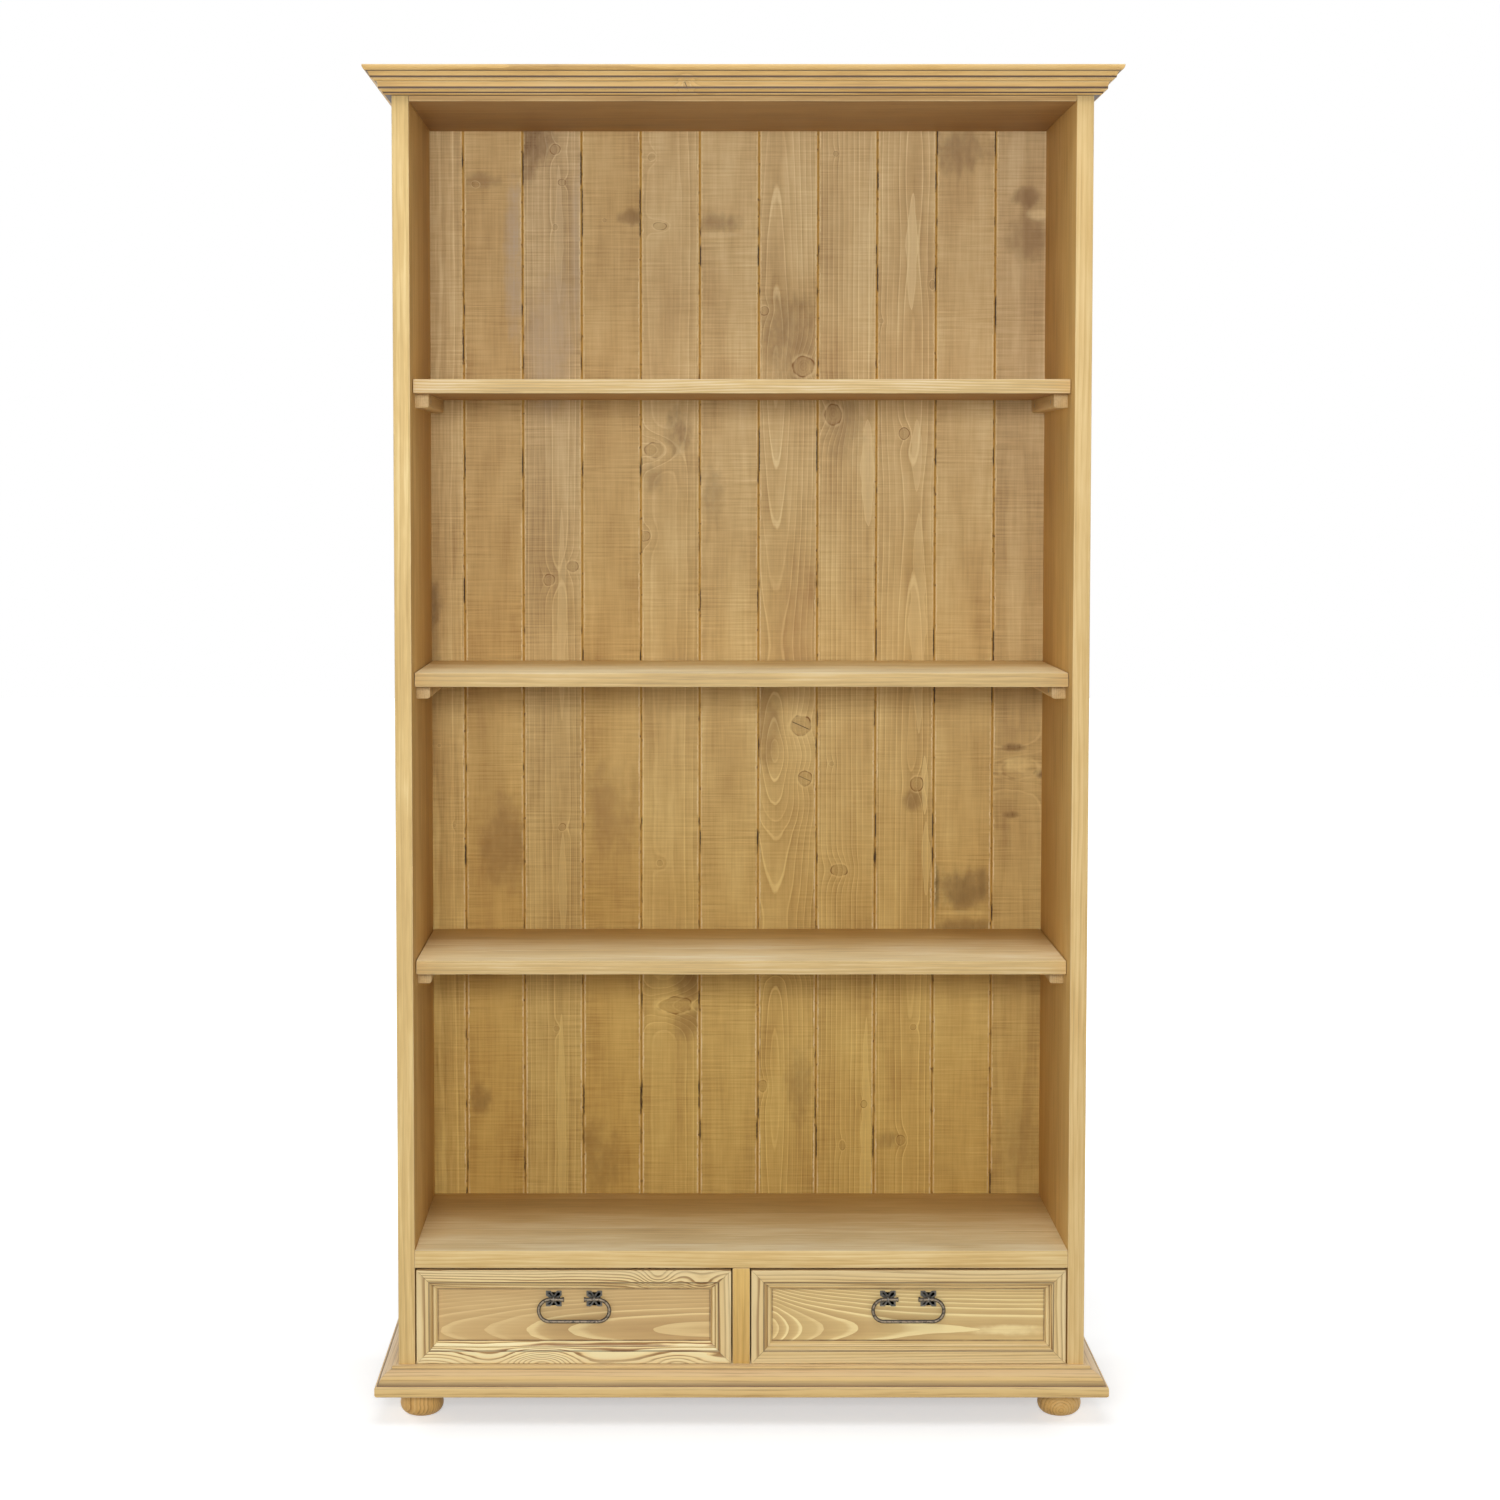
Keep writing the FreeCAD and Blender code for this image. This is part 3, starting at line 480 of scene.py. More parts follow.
class PineShader:
    """The nodes of one pine finish.

    Lengths are in metres, and a pair of numbers is where a soft step starts and ends.
    """

    SEED_STEP = 3.7
    DIVE_REACH = 0.2
    KNOT_LONGER = 2.2
    KNOT_WIDER = 2.0
    KNOT_PUSH = 0.9
    YEAR_LEAST = 0.45
    YEAR_SPREAD = 0.7
    FOCUS_EDGE = (1.5, 0.7)
    FOCUS_REST = 0.3
    STAVE_SPREAD = 0.22
    STAVE_LINE = 0.0009
    STAVE_STAIN = 0.35
    COOLING = (0.3, 1.8)
    BACK_FACING = (0.3, 0.7)
    TO_FRONT = (-0.6, -0.9)
    TO_SKY = (0.6, 0.9)
    TOP_DEPTH = (-0.16, 0.12)
    CLOUD_BREAKS = (2.0, 1.6)
    CLOUD_EDGE = (2.6, -0.8)
    TONGUE_SWAY = 0.6
    TONGUE_EDGE = (0.0, 0.0009)
    TONGUE_RIM = (0.0022, 0.0006)
    KNOT_LOBES = 0.3
    KNOT_CRUMBS = 0.12
    HEART_EDGE = (1.0, 0.8)
    HEART_TURNS = 21.0
    LOBE_GAPS = (0.36, 0.58)
    COLLAR = ((1.0, 1.1), (1.4, 1.15))
    RIM = ((0.84, 0.95), (1.08, 0.98))
    CRACK_LEAN = 0.45
    CRACK_EDGE = (0.0011, 0.0003)
    SEAM_LEAST = 0.0008
    SEAM_SPREAD = 0.0028
    SEAM_EDGE = 0.0007
    SEAM_DARK = (0.53, 0.6)
    SEAM_STAIN = (0.56, 0.74)
    SEAM_COVER = 0.92
    PALE_ARRIS_REACH = 0.0024
    PALE_ARRIS_EDGE = 0.0014
    PALE_ARRIS_END = 0.0006
    PALE_ARRIS_RUN = (0.6, 0.42)
    PALE_ARRIS_BREAKS = (0.2, 0.6)
    FRAME_SHADE = (0.0032, 0.0006)

    def __init__(self, finish: Pine, name: str, origin: Vector) -> None:
        """Builds the whole material.

        Args:
            finish: the pine's looks.
            name: the material's name.
            origin: the point that the board's places are counted from.
        """
        self.finish = finish
        self.material = bpy.data.materials.new(name)
        self.material.use_nodes = True
        self.graph = Graph(self.material.node_tree)
        self.shader = self.material.node_tree.nodes["Principled BSDF"]
        self._find_place(origin)
        shade, height = self._shade()
        colour = self._colour(shade)
        self._dress(colour, height)

    def _find_place(self, origin: Vector) -> None:
        """Splits the place on the board into along, across and deep, stave by stave.

        Args:
            origin: the point that the places are counted from.
        """
        graph = self.graph
        finish = self.finish
        sight = graph.node("ShaderNodeTexCoord")
        _, self.backwards, self.upwards = graph.split(sight.outputs["Normal"])
        parts = graph.split(graph.vector("SUBTRACT", sight.outputs["Object"], tuple(origin)))
        self.along, self.across, self.deep = (parts[axis] for axis in finish.grain.value)
        self.face_across = self.across
        self.stave_tone = None
        shift: object = finish.seed * self.SEED_STEP
        if finish.stave:
            count = graph.math("ROUND", graph.math("DIVIDE", self.across, finish.stave))
            self.stave_tone = graph.minus(graph.chance(graph.plus(count, finish.seed)), 0.5)
            self.across = graph.minus(self.across, graph.times(count, finish.stave))
            self.stave_edge = graph.math("ABSOLUTE", self.across)
            self.across = graph.plus(self.across, graph.times(self.stave_tone, finish.stave))
            shift = graph.scaled(count, self.SEED_STEP, shift)
        self.place = graph.joined(graph.plus(self.along, shift), self.across, self.deep)

    def _noise(self, speckle: Speckle) -> Socket:
        """Returns one of the wood's noises at this place."""
        return self.graph.noise(self.place, *speckle.value)

    def _pith_depth(self) -> Socket:
        """Finds how deep the tree's heart lies behind this place along the board.

        Returns:
            The depth, in metres.
        """
        graph = self.graph
        finish = self.finish
        start = finish.pith[1]
        if not finish.dive:
            return graph.plus(start, graph.swing(self._noise(Speckle.DRIFT), finish.wander * 2))
        first = finish.dive[0][0]
        span = finish.dive[-1][0] - first
        points = tuple(((along - first) / span, 0.5 + depth / self.DIVE_REACH)
                       for along, depth in finish.dive)
        share = graph.curve(graph.scaled(self.along, 1 / span, -first / span), points)
        return graph.scaled(graph.minus(share, 0.5), self.DIVE_REACH, start)

    def _rings(self) -> Socket:
        """Cuts through the growth rings, which knots and eddies push aside.

        Returns:
            The lightness that they give, about nought.
        """
        graph = self.graph
        finish = self.finish
        lean = graph.swing(self._noise(Speckle.LEAN), finish.wander)
        across = graph.minus(graph.plus(self.across, lean), finish.pith[0])
        deep = graph.minus(self.deep, self._pith_depth())
        radius = graph.vector("LENGTH", graph.joined(across, deep))
        reach = graph.plus(radius, graph.swing(self._noise(Speckle.WAVE), finish.wobble))
        swirls = [(self._ellipse(knot, self.KNOT_LONGER, self.KNOT_WIDER),
                   knot.width * self.KNOT_PUSH * knot.push) for knot in finish.knots]
        swirls += [(self._ellipse(eddy), eddy.push) for eddy in finish.eddies]
        for near, push in swirls:
            fall = graph.math("EXPONENT", graph.times(near, -1.0))
            reach = graph.scaled(fall, push, reach)
        phase = graph.math("DIVIDE", graph.math("MAXIMUM", reach, 0.0), finish.ring_gap)
        if finish.crowding != 1.0:
            phase = graph.math("POWER", phase, finish.crowding)
        year = graph.chance(graph.math("FLOOR", phase))
        strength = graph.scaled(year, self.YEAR_SPREAD, self.YEAR_LEAST)
        if finish.focus:
            near = graph.fade(radius, *(finish.focus * edge for edge in self.FOCUS_EDGE))
            strength = graph.times(strength, graph.scaled(near, 1.0 - self.FOCUS_REST,
                                                          self.FOCUS_REST))
        stops = tuple((place, (light, light, light, 1.0)) for place, light in finish.rings.value)
        lightness = graph.ramp(graph.math("FRACT", phase), stops)
        return graph.times(graph.minus(lightness, 0.5), strength)

    def _ellipse(self, spot: Knot | Eddy | Cloud, longer: float = 1.0,
                 wider: float = 1.0) -> Socket:
        """Measures how far this place is from a spot on the board.

        Args:
            spot: what lies there.
            longer: a factor on its length.
            wider: a factor on its width.

        Returns:
            The squared distance, which is 1 on the edge of its ellipse.
        """
        graph = self.graph
        length = spot.length * longer
        width = spot.width * wider
        gap_along = graph.scaled(self.along, 1 / length, -spot.along / length)
        gap_across = graph.scaled(self.across, 1 / width, -spot.across / width)
        return graph.scaled(gap_across, gap_across, graph.times(gap_along, gap_along))

    def _shade(self) -> tuple[Socket, Socket]:
        """Adds rings, fibres, patches and saw marks together.

        Returns:
            The lightness of the wood, and the height of its relief.
        """
        graph = self.graph
        finish = self.finish
        rings = self._rings()
        self.fibres = self._noise(Speckle.FIBRES)
        self.patch = self._noise(Speckle.PATCH)
        self.flecks = self._noise(Speckle.FLECKS)
        shade = graph.scaled(rings, finish.ring_contrast, 0.5)
        shade = graph.plus(shade, graph.swing(self.fibres, finish.fibre))
        shade = graph.plus(shade, graph.swing(self.patch, finish.patches))
        height = graph.scaled(rings, 0.5, graph.times(self.fibres, 0.5))
        self.saw = None
        if finish.saw:
            self.saw = self._noise(Speckle.SAW)
            cut = graph.swing(self.saw, finish.saw * 2)
            shade = graph.plus(shade, graph.times(cut, self._noise(Speckle.SAW_BANDS)))
            height = graph.plus(height, self.saw)
        if self.stave_tone is not None:
            shade = graph.scaled(self.stave_tone, self.STAVE_SPREAD, shade)
        return shade, height

    def _colour(self, shade: Socket) -> Socket:
        """Colours the wood and lays on it all that lies on it.

        Args:
            shade: the lightness of the wood.

        Returns:
            The colour.
        """
        graph = self.graph
        finish = self.finish
        tones = ((0.0, finish.dark), (0.5, finish.base), (1.0, finish.pale))
        colour = graph.ramp(shade, tuple((place, tone.linear()) for place, tone in tones))
        for streak in finish.streaks:
            colour = self._streak(colour, streak)
        for cloud in finish.clouds:
            colour = self._cloud(colour, cloud)
        for knot in finish.knots:
            colour = self._knot(colour, knot)
        if finish.stave:
            half = finish.stave / 2
            edge = graph.fade(self.stave_edge, half - self.STAVE_LINE, half)
            colour = graph.mix(graph.times(edge, self.STAVE_STAIN), colour, STAIN_AND_SHADE)
        # Tints the board warmer towards its bottom, and leaves its back faces untinted.
        if finish.warmth:
            cool = graph.math("MAXIMUM", graph.fade(self.along, *self.COOLING),
                              graph.fade(self.backwards, *self.BACK_FACING))
            colour = graph.mix(1.0, colour, graph.mix(cool, finish.warmth, WHITE), "MULTIPLY")
        if finish.edge:
            front_face = graph.fade(self.backwards, *self.TO_FRONT)
            colour = self._turned(colour, front_face, finish.edge)
        # Painted light on the upper faces: paler than the rest, palest at the front and darker
        # towards the back.
        if finish.top:
            lit_top_share = graph.fade(self.upwards, *self.TO_SKY)
            colour = self._turned(colour, lit_top_share, *finish.top,
                                  graph.fade(self.face_across, *self.TOP_DEPTH))
        if finish.half_width:
            colour = self._seams(colour)
        # Painted shade round the panel's rim, along the frame.
        if finish.sunk:
            colour = self._frame_shaded(colour, *finish.sunk)
        return self._worn_and_shaded(colour)

    def _turned(self, colour: Socket, share: Socket, tone: Tone, far_tone: Tone | None = None,
                far: object = 0.0) -> Socket:
        """Tints the colour on the faces that look one way: to a tone of their own on the front
        faces, and with painted light on the upper faces, palest at the front.
            share: 1 on those faces and 0 on the others.
            tone: their base tone.
            far_tone: their base tone at the other end of the board's width.
            far: 0 to 1 over that width.

        Returns:
            The aged colour.
        """
        graph = self.graph
        base = self.finish.base.linear()
        near_ratio = tuple(a / b for a, b in zip(tone.linear(), base))
        far_ratio = tuple(a / b for a, b in zip((far_tone or tone).linear(), base))
        tint = graph.mix(far, near_ratio, far_ratio)
        return graph.mix(share, colour, graph.mix(1.0, colour, tint, "MULTIPLY"))

    def _cloud(self, colour: Socket, cloud: Cloud) -> Socket:
        """Lays a soft patch on the board, broken up by its fibres and saw marks.

        Args:
            colour: the wood's colour.
            cloud: the patch.

        Returns:
            The colour with the patch on it.
        """
        graph = self.graph
        broad, fine = self.CLOUD_BREAKS
        near = graph.plus(self._ellipse(cloud), graph.swing(self.patch, broad))
        near = graph.plus(near, graph.swing(self.flecks, fine))
        share = graph.fade(near, *self.CLOUD_EDGE)
        if self.saw is not None:
            share = graph.times(share, graph.plus(self.saw, 0.5))
        share = graph.times(share, graph.scaled(self.fibres, 1.2, 0.4))
        return graph.mix(graph.times(share, cloud.strength, clamp=True), colour, cloud.tone)

    def _streak(self, colour: Socket, streak: Streak) -> Socket:
        """Lays a pale tongue on the board, pointed at both ends and paler at its rim.

        Args:
            colour: the wood's colour.
            streak: the tongue.

        Returns:
            The colour with the tongue on it.
        """
        graph = self.graph
        pale = self.finish.pale
        centre = (streak.low + streak.high) / 2
        half = (streak.high - streak.low) / 2
        rise = graph.scaled(self.along, 1 / half, -centre / half)
        room = graph.minus(1.0, graph.math("ABSOLUTE", rise))
        point = graph.math("SQRT", graph.math("MAXIMUM", room, 0.0))
        ragged = graph.scaled(self._noise(Speckle.TONGUE), streak.width, streak.width * 0.5)
        sway = graph.swing(self.patch, streak.width * self.TONGUE_SWAY)
        gap = graph.math("ABSOLUTE", graph.minus(graph.plus(self.across, sway), streak.across))
        inside = graph.minus(graph.times(point, ragged), gap)
        share = graph.fade(inside, *self.TONGUE_EDGE)
        rim = graph.times(share, graph.fade(inside, *self.TONGUE_RIM))
        colour = graph.mix(graph.times(share, streak.strength * 0.55), colour, pale)
        return graph.mix(graph.times(rim, streak.strength * 0.6), colour,
                         pale.towards(CREAM_AND_HIGHLIGHT, 0.5))

    def _knot(self, colour: Socket, knot: Knot) -> Socket:
        """Lays a knot on the board: its heart, a pale collar, a thin dark rim and a crack.

        Args:
            colour: the wood's colour.
            knot: the knot.

        Returns:
            The colour with the knot on it.
        """
        graph = self.graph
        finish = self.finish
        lobes = self._noise(Speckle.LOBES)
        near = graph.math("SQRT", self._ellipse(knot))
        near = graph.plus(near, graph.swing(lobes, self.KNOT_LOBES))
        near = graph.plus(near, graph.swing(self.flecks, self.KNOT_CRUMBS))
        heart = graph.fade(near, *self.HEART_EDGE)
        turns = graph.math("SINE", graph.times(near, self.HEART_TURNS))
        spots = graph.scaled(turns, 0.12, graph.times(self.flecks, 1.1))
        tone = graph.mix(spots, finish.dark.towards(STAIN_AND_SHADE, 0.3), finish.base)
        colour = graph.mix(graph.times(heart, 0.3 + knot.dark * 0.4), colour, tone)
        gaps = graph.fade(lobes, *self.LOBE_GAPS)
        collar = graph.times(graph.band(near, *self.COLLAR), graph.times(gaps, 0.42))
        colour = graph.mix(collar, colour, finish.pale.towards(CREAM_AND_HIGHLIGHT, 0.4))
        broken = graph.scaled(gaps, -0.75, 0.7 + knot.dark * 0.5)
        rim = graph.times(graph.band(near, *self.RIM), broken, clamp=True)
        colour = graph.mix(rim, colour, UMBER)
        if not knot.crack:
            return colour
        lean = graph.scaled(self.across, self.CRACK_LEAN,
                            -self.CRACK_LEAN * knot.across - knot.along)
        line = graph.math("ABSOLUTE", graph.plus(self.along, lean))
        split = graph.times(graph.fade(line, *self.CRACK_EDGE), heart)
        return graph.mix(graph.times(split, knot.crack), colour, SOOT_AND_SHADE)

    def _seams(self, colour: Socket) -> Socket:
        """Lays wax, dust and dark gaps along a tongued board's edges, and a pale line on the
        arrises that is rubbing and painted highlight.

        Args:
            colour: the wood's colour.

        Returns:
            The colour with the seams on it.
        """
        graph = self.graph
        edge = graph.math("ABSOLUTE", self.face_across)
        run = self._noise(Speckle.SEAM_RUN)
        crumbs = self._noise(Speckle.SEAM_CRUMBS)
        reach = graph.scaled(crumbs, self.SEAM_SPREAD, self.SEAM_LEAST)
        start = graph.minus(self.finish.half_width, reach)
        share = graph.fade(edge, start, graph.plus(start, self.SEAM_EDGE))
        tone = graph.mix(graph.fade(run, *self.SEAM_DARK), HONEY, SOOT_AND_SHADE)
        tone = graph.mix(graph.fade(crumbs, *self.SEAM_STAIN), tone, STAIN_AND_SHADE)
        # The pale line along each arris is painted highlight as well as rubbing.
        inner = graph.minus(start, self.PALE_ARRIS_REACH)
        mark_strength = graph.band(edge, (inner, graph.plus(inner, self.PALE_ARRIS_EDGE)),
                         (graph.plus(start, self.PALE_ARRIS_END), start))
        worn = graph.times(graph.fade(run, *self.PALE_ARRIS_RUN), graph.fade(crumbs, *self.PALE_ARRIS_BREAKS))
        colour = graph.mix(graph.times(mark_strength, worn), colour, CREAM_AND_HIGHLIGHT)
        return graph.mix(graph.times(share, self.SEAM_COVER), colour, tone)

    def _frame_shaded(self, colour: Socket, half_along: float, half_across: float) -> Socket:
        """Paints shade in a narrow band along the frame round a sunk panel, speckled like old wax.

        Args:
            colour: the panel's colour.
            half_along: half the length of the field in view.
            half_across: half its width.

        Returns:
            The colour with the painted shade on it.
        """
        graph = self.graph
        ends = graph.minus(half_along, graph.math("ABSOLUTE", self.along))
        sides = graph.minus(half_across, graph.math("ABSOLUTE", self.face_across))
        near = graph.fade(graph.math("MINIMUM", ends, sides), *self.FRAME_SHADE)
        share = graph.times(near, graph.scaled(self.flecks, 1.2, 0.1))
        return graph.mix(share, colour, STAIN_AND_SHADE.towards(SOOT_AND_SHADE, 0.2))

    def _worn_and_shaded(self, colour: Socket) -> Socket:
        """Pales the ridges, with rubbing and painted highlight, and darkens the quirks and hollows
        with painted shade.

        Args:
            colour: the wood's colour.

        Returns:
            The worn colour.
        """
        graph = self.graph
        wear_and_shade = graph.wear_and_shade()
        mark_strength = graph.scaled(self.fibres, 1.4, 0.1)
        # Pale ridges: rubbing and painted highlight.
        light = graph.times(wear_and_shade, mark_strength, clamp=True)
        # Painted shade in the quirks and hollows, where the mark is below 0.
        painted_shade = graph.times(wear_and_shade, graph.scaled(mark_strength, -1.2, -0.7), clamp=True)
        colour = graph.mix(graph.times(light, 0.8), colour, CREAM_AND_HIGHLIGHT)
        return graph.mix(painted_shade, colour, STAIN_AND_SHADE.towards(SOOT_AND_SHADE, 0.7))

    def _dress(self, colour: Socket, height: Socket) -> None:
        """Joins colour, gloss and relief to the shader.

        Args:
            colour: the wood's colour.
            height: the height of its relief.
        """
        graph = self.graph
        finish = self.finish
        inputs = self.shader.inputs
        graph.feed(inputs["Base Color"], colour)
        graph.feed(inputs["Roughness"], graph.scaled(self.fibres, 0.16, finish.roughness - 0.08))
        graph.feed(inputs["Normal"], graph.relief(height, finish.relief))
        inputs["Specular IOR Level"].default_value = finish.gloss


@dataclass(frozen=True)
class Metal:
    """Forged or plated metal with a patina, paler on its marked points: rubbed edges, and a painted
    highlight on the bail's front.
    """

    base: Tone
    patch: Tone
    bright: Tone
    metallic: float = 0.8
    roughness: float = 0.45
    hammer: float = 0.0002

    PATCH_CELLS = (260.0, 260.0, 260.0)
    DENT_CELLS = (130.0, 130.0, 130.0)

    def material(self, name: str) -> bpy.types.Material:
        """Builds the finish.

        Args:
            name: the material's name.

        Returns:
            The material.
        """
        made = bpy.data.materials.new(name)
        made.use_nodes = True
        graph = Graph(made.node_tree)
        inputs = made.node_tree.nodes["Principled BSDF"].inputs
        place = graph.node("ShaderNodeTexCoord").outputs["Object"]
        spots = graph.noise(place, self.PATCH_CELLS, 3.0, 0.6)
        dents = graph.noise(place, self.DENT_CELLS, 1.0)
        colour = graph.mix(graph.fade(spots, 0.42, 0.66), self.base, self.patch)
        # Marked points turn bright: rubbed edges, and the painted highlight on the bail.
        mark_strength = graph.times(graph.wear_and_shade(), graph.fade(spots, 0.3, 0.6), clamp=True)
        colour = graph.mix(graph.times(mark_strength, 0.7), colour, self.bright)
        height = graph.plus(dents, graph.times(spots, 0.3))
        graph.feed(inputs["Base Color"], colour)
        graph.feed(inputs["Roughness"], graph.scaled(spots, 0.2, self.roughness - 0.1))
        graph.feed(inputs["Normal"], graph.relief(height, self.hammer))
        inputs["Metallic"].default_value = self.metallic
        return made


# Modelling moves that the pieces share

def body_of(node: str) -> str:
    """Returns the body that a CAD node rides on."""
    return frame["nodes"][node]["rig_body"]


def middle(node: str) -> Vector:
    """Returns the middle of a CAD node's box."""
    low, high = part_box(node)
    return (low + high) / 2


def dress_node(node: str, finish: bpy.types.Material) -> None:
    """Gives a CAD node that stays in view its material.

    Args:
        node: the CAD node.
        finish: its material.
    """
    mesh = frame["nodes"][node].data
    mesh.materials.clear()
    mesh.materials.append(finish)
    log.info("%s keeps its shape", node)


class Bench:
    """The moves of the modeller's bench."""

    SHARP = math.radians(28)
    WEAR_AND_SHADE_START = math.radians(16)
    WEAR_AND_SHADE_FULL = math.radians(42)
    RIDGE = 0.9
    RIDGE_FIRST = 0.01
    SORT_FROM = Vector((-1.37, -0.83, -0.41))
    SAME_PLACE = 1e-5
    ON_PLANE = 1e-6

    @staticmethod
    def clear() -> None:
        """Leaves edit mode and deselects everything."""
        if bpy.context.object and bpy.context.object.mode != "OBJECT":
            bpy.ops.object.mode_set(mode="OBJECT")
        bpy.ops.object.select_all(action="DESELECT")

    @staticmethod
    def pick(piece: Piece) -> None:
        """Makes one piece the only selected and active one.

        Args:
            piece: the piece.
        """
        Bench.clear()
        piece.select_set(True)
        bpy.context.view_layer.objects.active = piece

    @staticmethod
    @contextmanager
    def editing(piece: Piece, action: str = "SELECT") -> Iterator[None]:
        """Opens a piece in edit mode and closes it after the moves under it.

        Args:
            piece: the piece.
            action: SELECT to start with all of it selected, DESELECT to start with none.
        """
        Bench.pick(piece)
        bpy.ops.object.mode_set(mode="EDIT")
        bpy.ops.mesh.select_all(action=action)
        yield
        bpy.ops.object.mode_set(mode="OBJECT")

    @staticmethod
    def settle(name: str) -> Piece:
        """Names the active piece and puts its place into its mesh.

        Args:
            name: the piece's name.

        Returns:
            The piece.
        """
        bpy.ops.object.transform_apply(location=True, rotation=True, scale=True)
        piece = bpy.context.object
        piece.name = name
        piece.data.name = name
        return piece

    @staticmethod
    def block(name: str, low: Vector, high: Vector) -> Piece:
        """Adds a squared block.

        Args:
            name: the piece's name.
            low: its lowest corner.
            high: its highest corner.

        Returns:
            The block.
        """
        Bench.clear()
        bpy.ops.mesh.primitive_cube_add(size=1, location=(low + high) / 2, scale=high - low)
        return Bench.settle(name)

    @staticmethod
    def bar(name: str, outline: list[Vector], run: Vector) -> Piece:
        """Draws an outline point by point, fills it and draws it out.

        Args:
            name: the piece's name.
            outline: the points of the section, where it starts.
            run: the way and length that the section is drawn out.

        Returns:
            The closed bar.
        """
        Bench.face(name, outline)
        bpy.ops.mesh.extrude_region_move(TRANSFORM_OT_translate={"value": run})
        return Bench.closed(name)

    @staticmethod
    def closed(name: str) -> Piece:
        """Turns the faces of the piece in edit mode outwards and settles it.

        Args:
            name: the piece's name.

        Returns:
            The piece.
        """
        bpy.ops.mesh.select_all(action="SELECT")
        bpy.ops.mesh.normals_make_consistent(inside=False)
        bpy.ops.object.mode_set(mode="OBJECT")
        return Bench.settle(name)

    @staticmethod
    def line(name: str, points: list[Vector]) -> None:
        """Draws a line point by point and stays in edit mode with all of it selected.

        Args:
            name: the piece's name.
            points: the line's points.
        """
        Bench.clear()
        bpy.ops.mesh.primitive_plane_add(size=0.01, location=points[0])
        bpy.context.object.name = name
        bpy.ops.object.mode_set(mode="EDIT")
        bpy.ops.mesh.merge(type="CENTER")
        for here, there in zip(points, points[1:]):
            bpy.ops.mesh.extrude_region_move(TRANSFORM_OT_translate={"value": there - here})
        bpy.ops.mesh.select_all(action="SELECT")

    @staticmethod
    def face(name: str, outline: list[Vector]) -> None:
        """Draws a flat face by its outline and stays in edit mode with the face selected."""
        Bench.line(name, outline)
        bpy.ops.mesh.edge_face_add()

    @staticmethod
    def trim(piece: Piece, point: Vector, normal: Vector) -> None:
        """Cuts off what lies behind a plane and closes the cut.

        Args:
            piece: what is cut.
            point: a point on the plane.
            normal: the way to the side that stays.
        """
        with Bench.editing(piece):
            bpy.ops.mesh.bisect(plane_co=point, plane_no=normal, use_fill=True, clear_inner=True,
                                threshold=Bench.ON_PLANE)

    @staticmethod
    def cuts(piece: Piece, axis: int, step: float) -> None:
        """Adds loops of edges along an axis.

        Args:
            piece: what they are added to.
            axis: 0, 1 or 2 for x, y or z.
            step: about how far apart they lie.
        """
        places = [vertex.co[axis] for vertex in piece.data.vertices]
        low, high = min(places), max(places)
        count = max(2, round((high - low) / step))
        normal = Vector([1.0 if index == axis else 0.0 for index in range(3)])
        with Bench.editing(piece):
            for index in range(1, count):
                bpy.ops.mesh.select_all(action="SELECT")
                bpy.ops.mesh.bisect(plane_co=normal * (low + (high - low) * index / count),
                                    plane_no=normal, threshold=Bench.ON_PLANE)

    @staticmethod
    def soften(piece: Piece, width: float) -> None:
        """Rounds every sharp edge of a piece.

        Args:
            piece: the piece.
            width: how far the rounding reaches from the edge.
        """
        with Bench.editing(piece, "DESELECT"):
            bpy.ops.mesh.select_mode(type="EDGE")
            bpy.ops.mesh.edges_select_sharp(sharpness=Bench.SHARP)
            bpy.ops.mesh.bevel(offset=width, segments=2, profile=0.5, affect="EDGES")
            bpy.ops.mesh.select_mode(type="VERT")

    @staticmethod
    def write_wear_and_shade(piece: Piece, values: list[float]) -> None:
        """Writes each point's mark as an attribute: above 0 rubbed pale with painted highlight,
        below 0 painted shade.
        """
        layer = piece.data.attributes.new(WEAR_AND_SHADE, "FLOAT", "POINT")
        layer.data.foreach_set("value", values)

    @staticmethod
    def mark_wear_and_shade(piece: Piece) -> None:
        """Finds a piece's ridges and hollows, and marks the ridges pale, with rubbing and painted
        highlight, and the hollows with painted shade.

        Args:
            piece: the piece.
        """
        shape = bmesh.new()
        shape.from_mesh(piece.data)
        values = []
        # Convex edges mark pale ridges, rubbed and with painted highlight; concave edges mark
        # painted shade.
        for vertex in shape.verts:
            turns = [edge.calc_face_angle_signed(0.0) for edge in vertex.link_edges]
            most = max(turns, key=lambda turn: abs(turn) + Bench.RIDGE_FIRST * (turn > 0),
                       default=0.0)
            share = (abs(most) - Bench.WEAR_AND_SHADE_START) / (Bench.WEAR_AND_SHADE_FULL - Bench.WEAR_AND_SHADE_START)
            values.append(math.copysign(min(1.0, max(0.0, share)), most))
        shape.free()
        Bench.write_wear_and_shade(piece, values)

    @staticmethod
    def jitter(piece: Piece, chosen: list[bool], reach: float, even: float, seed: int) -> None:
        """Moves some points of a piece by chance.

        Args:
            piece: the piece.
            chosen: whether each of its points moves.
            reach: how far a point may move.
            even: how alike the distances are, from 0 to 1.
            seed: the seed of the chance moves.
        """
        # Points can only be chosen from a list outside edit mode.
        with Bench.editing(piece, "DESELECT"):
            pass
        piece.data.vertices.foreach_set("select", chosen)
        bpy.ops.object.mode_set(mode="EDIT")
        # Bevels leave points in any order, so they are sorted first.
        bpy.context.scene.cursor.location = Bench.SORT_FROM
        bpy.ops.mesh.sort_elements(type="CURSOR_DISTANCE", elements={"VERT"})
        bpy.ops.transform.vertex_random(offset=reach, uniform=even, normal=0.0, seed=seed)
        bpy.ops.object.mode_set(mode="OBJECT")

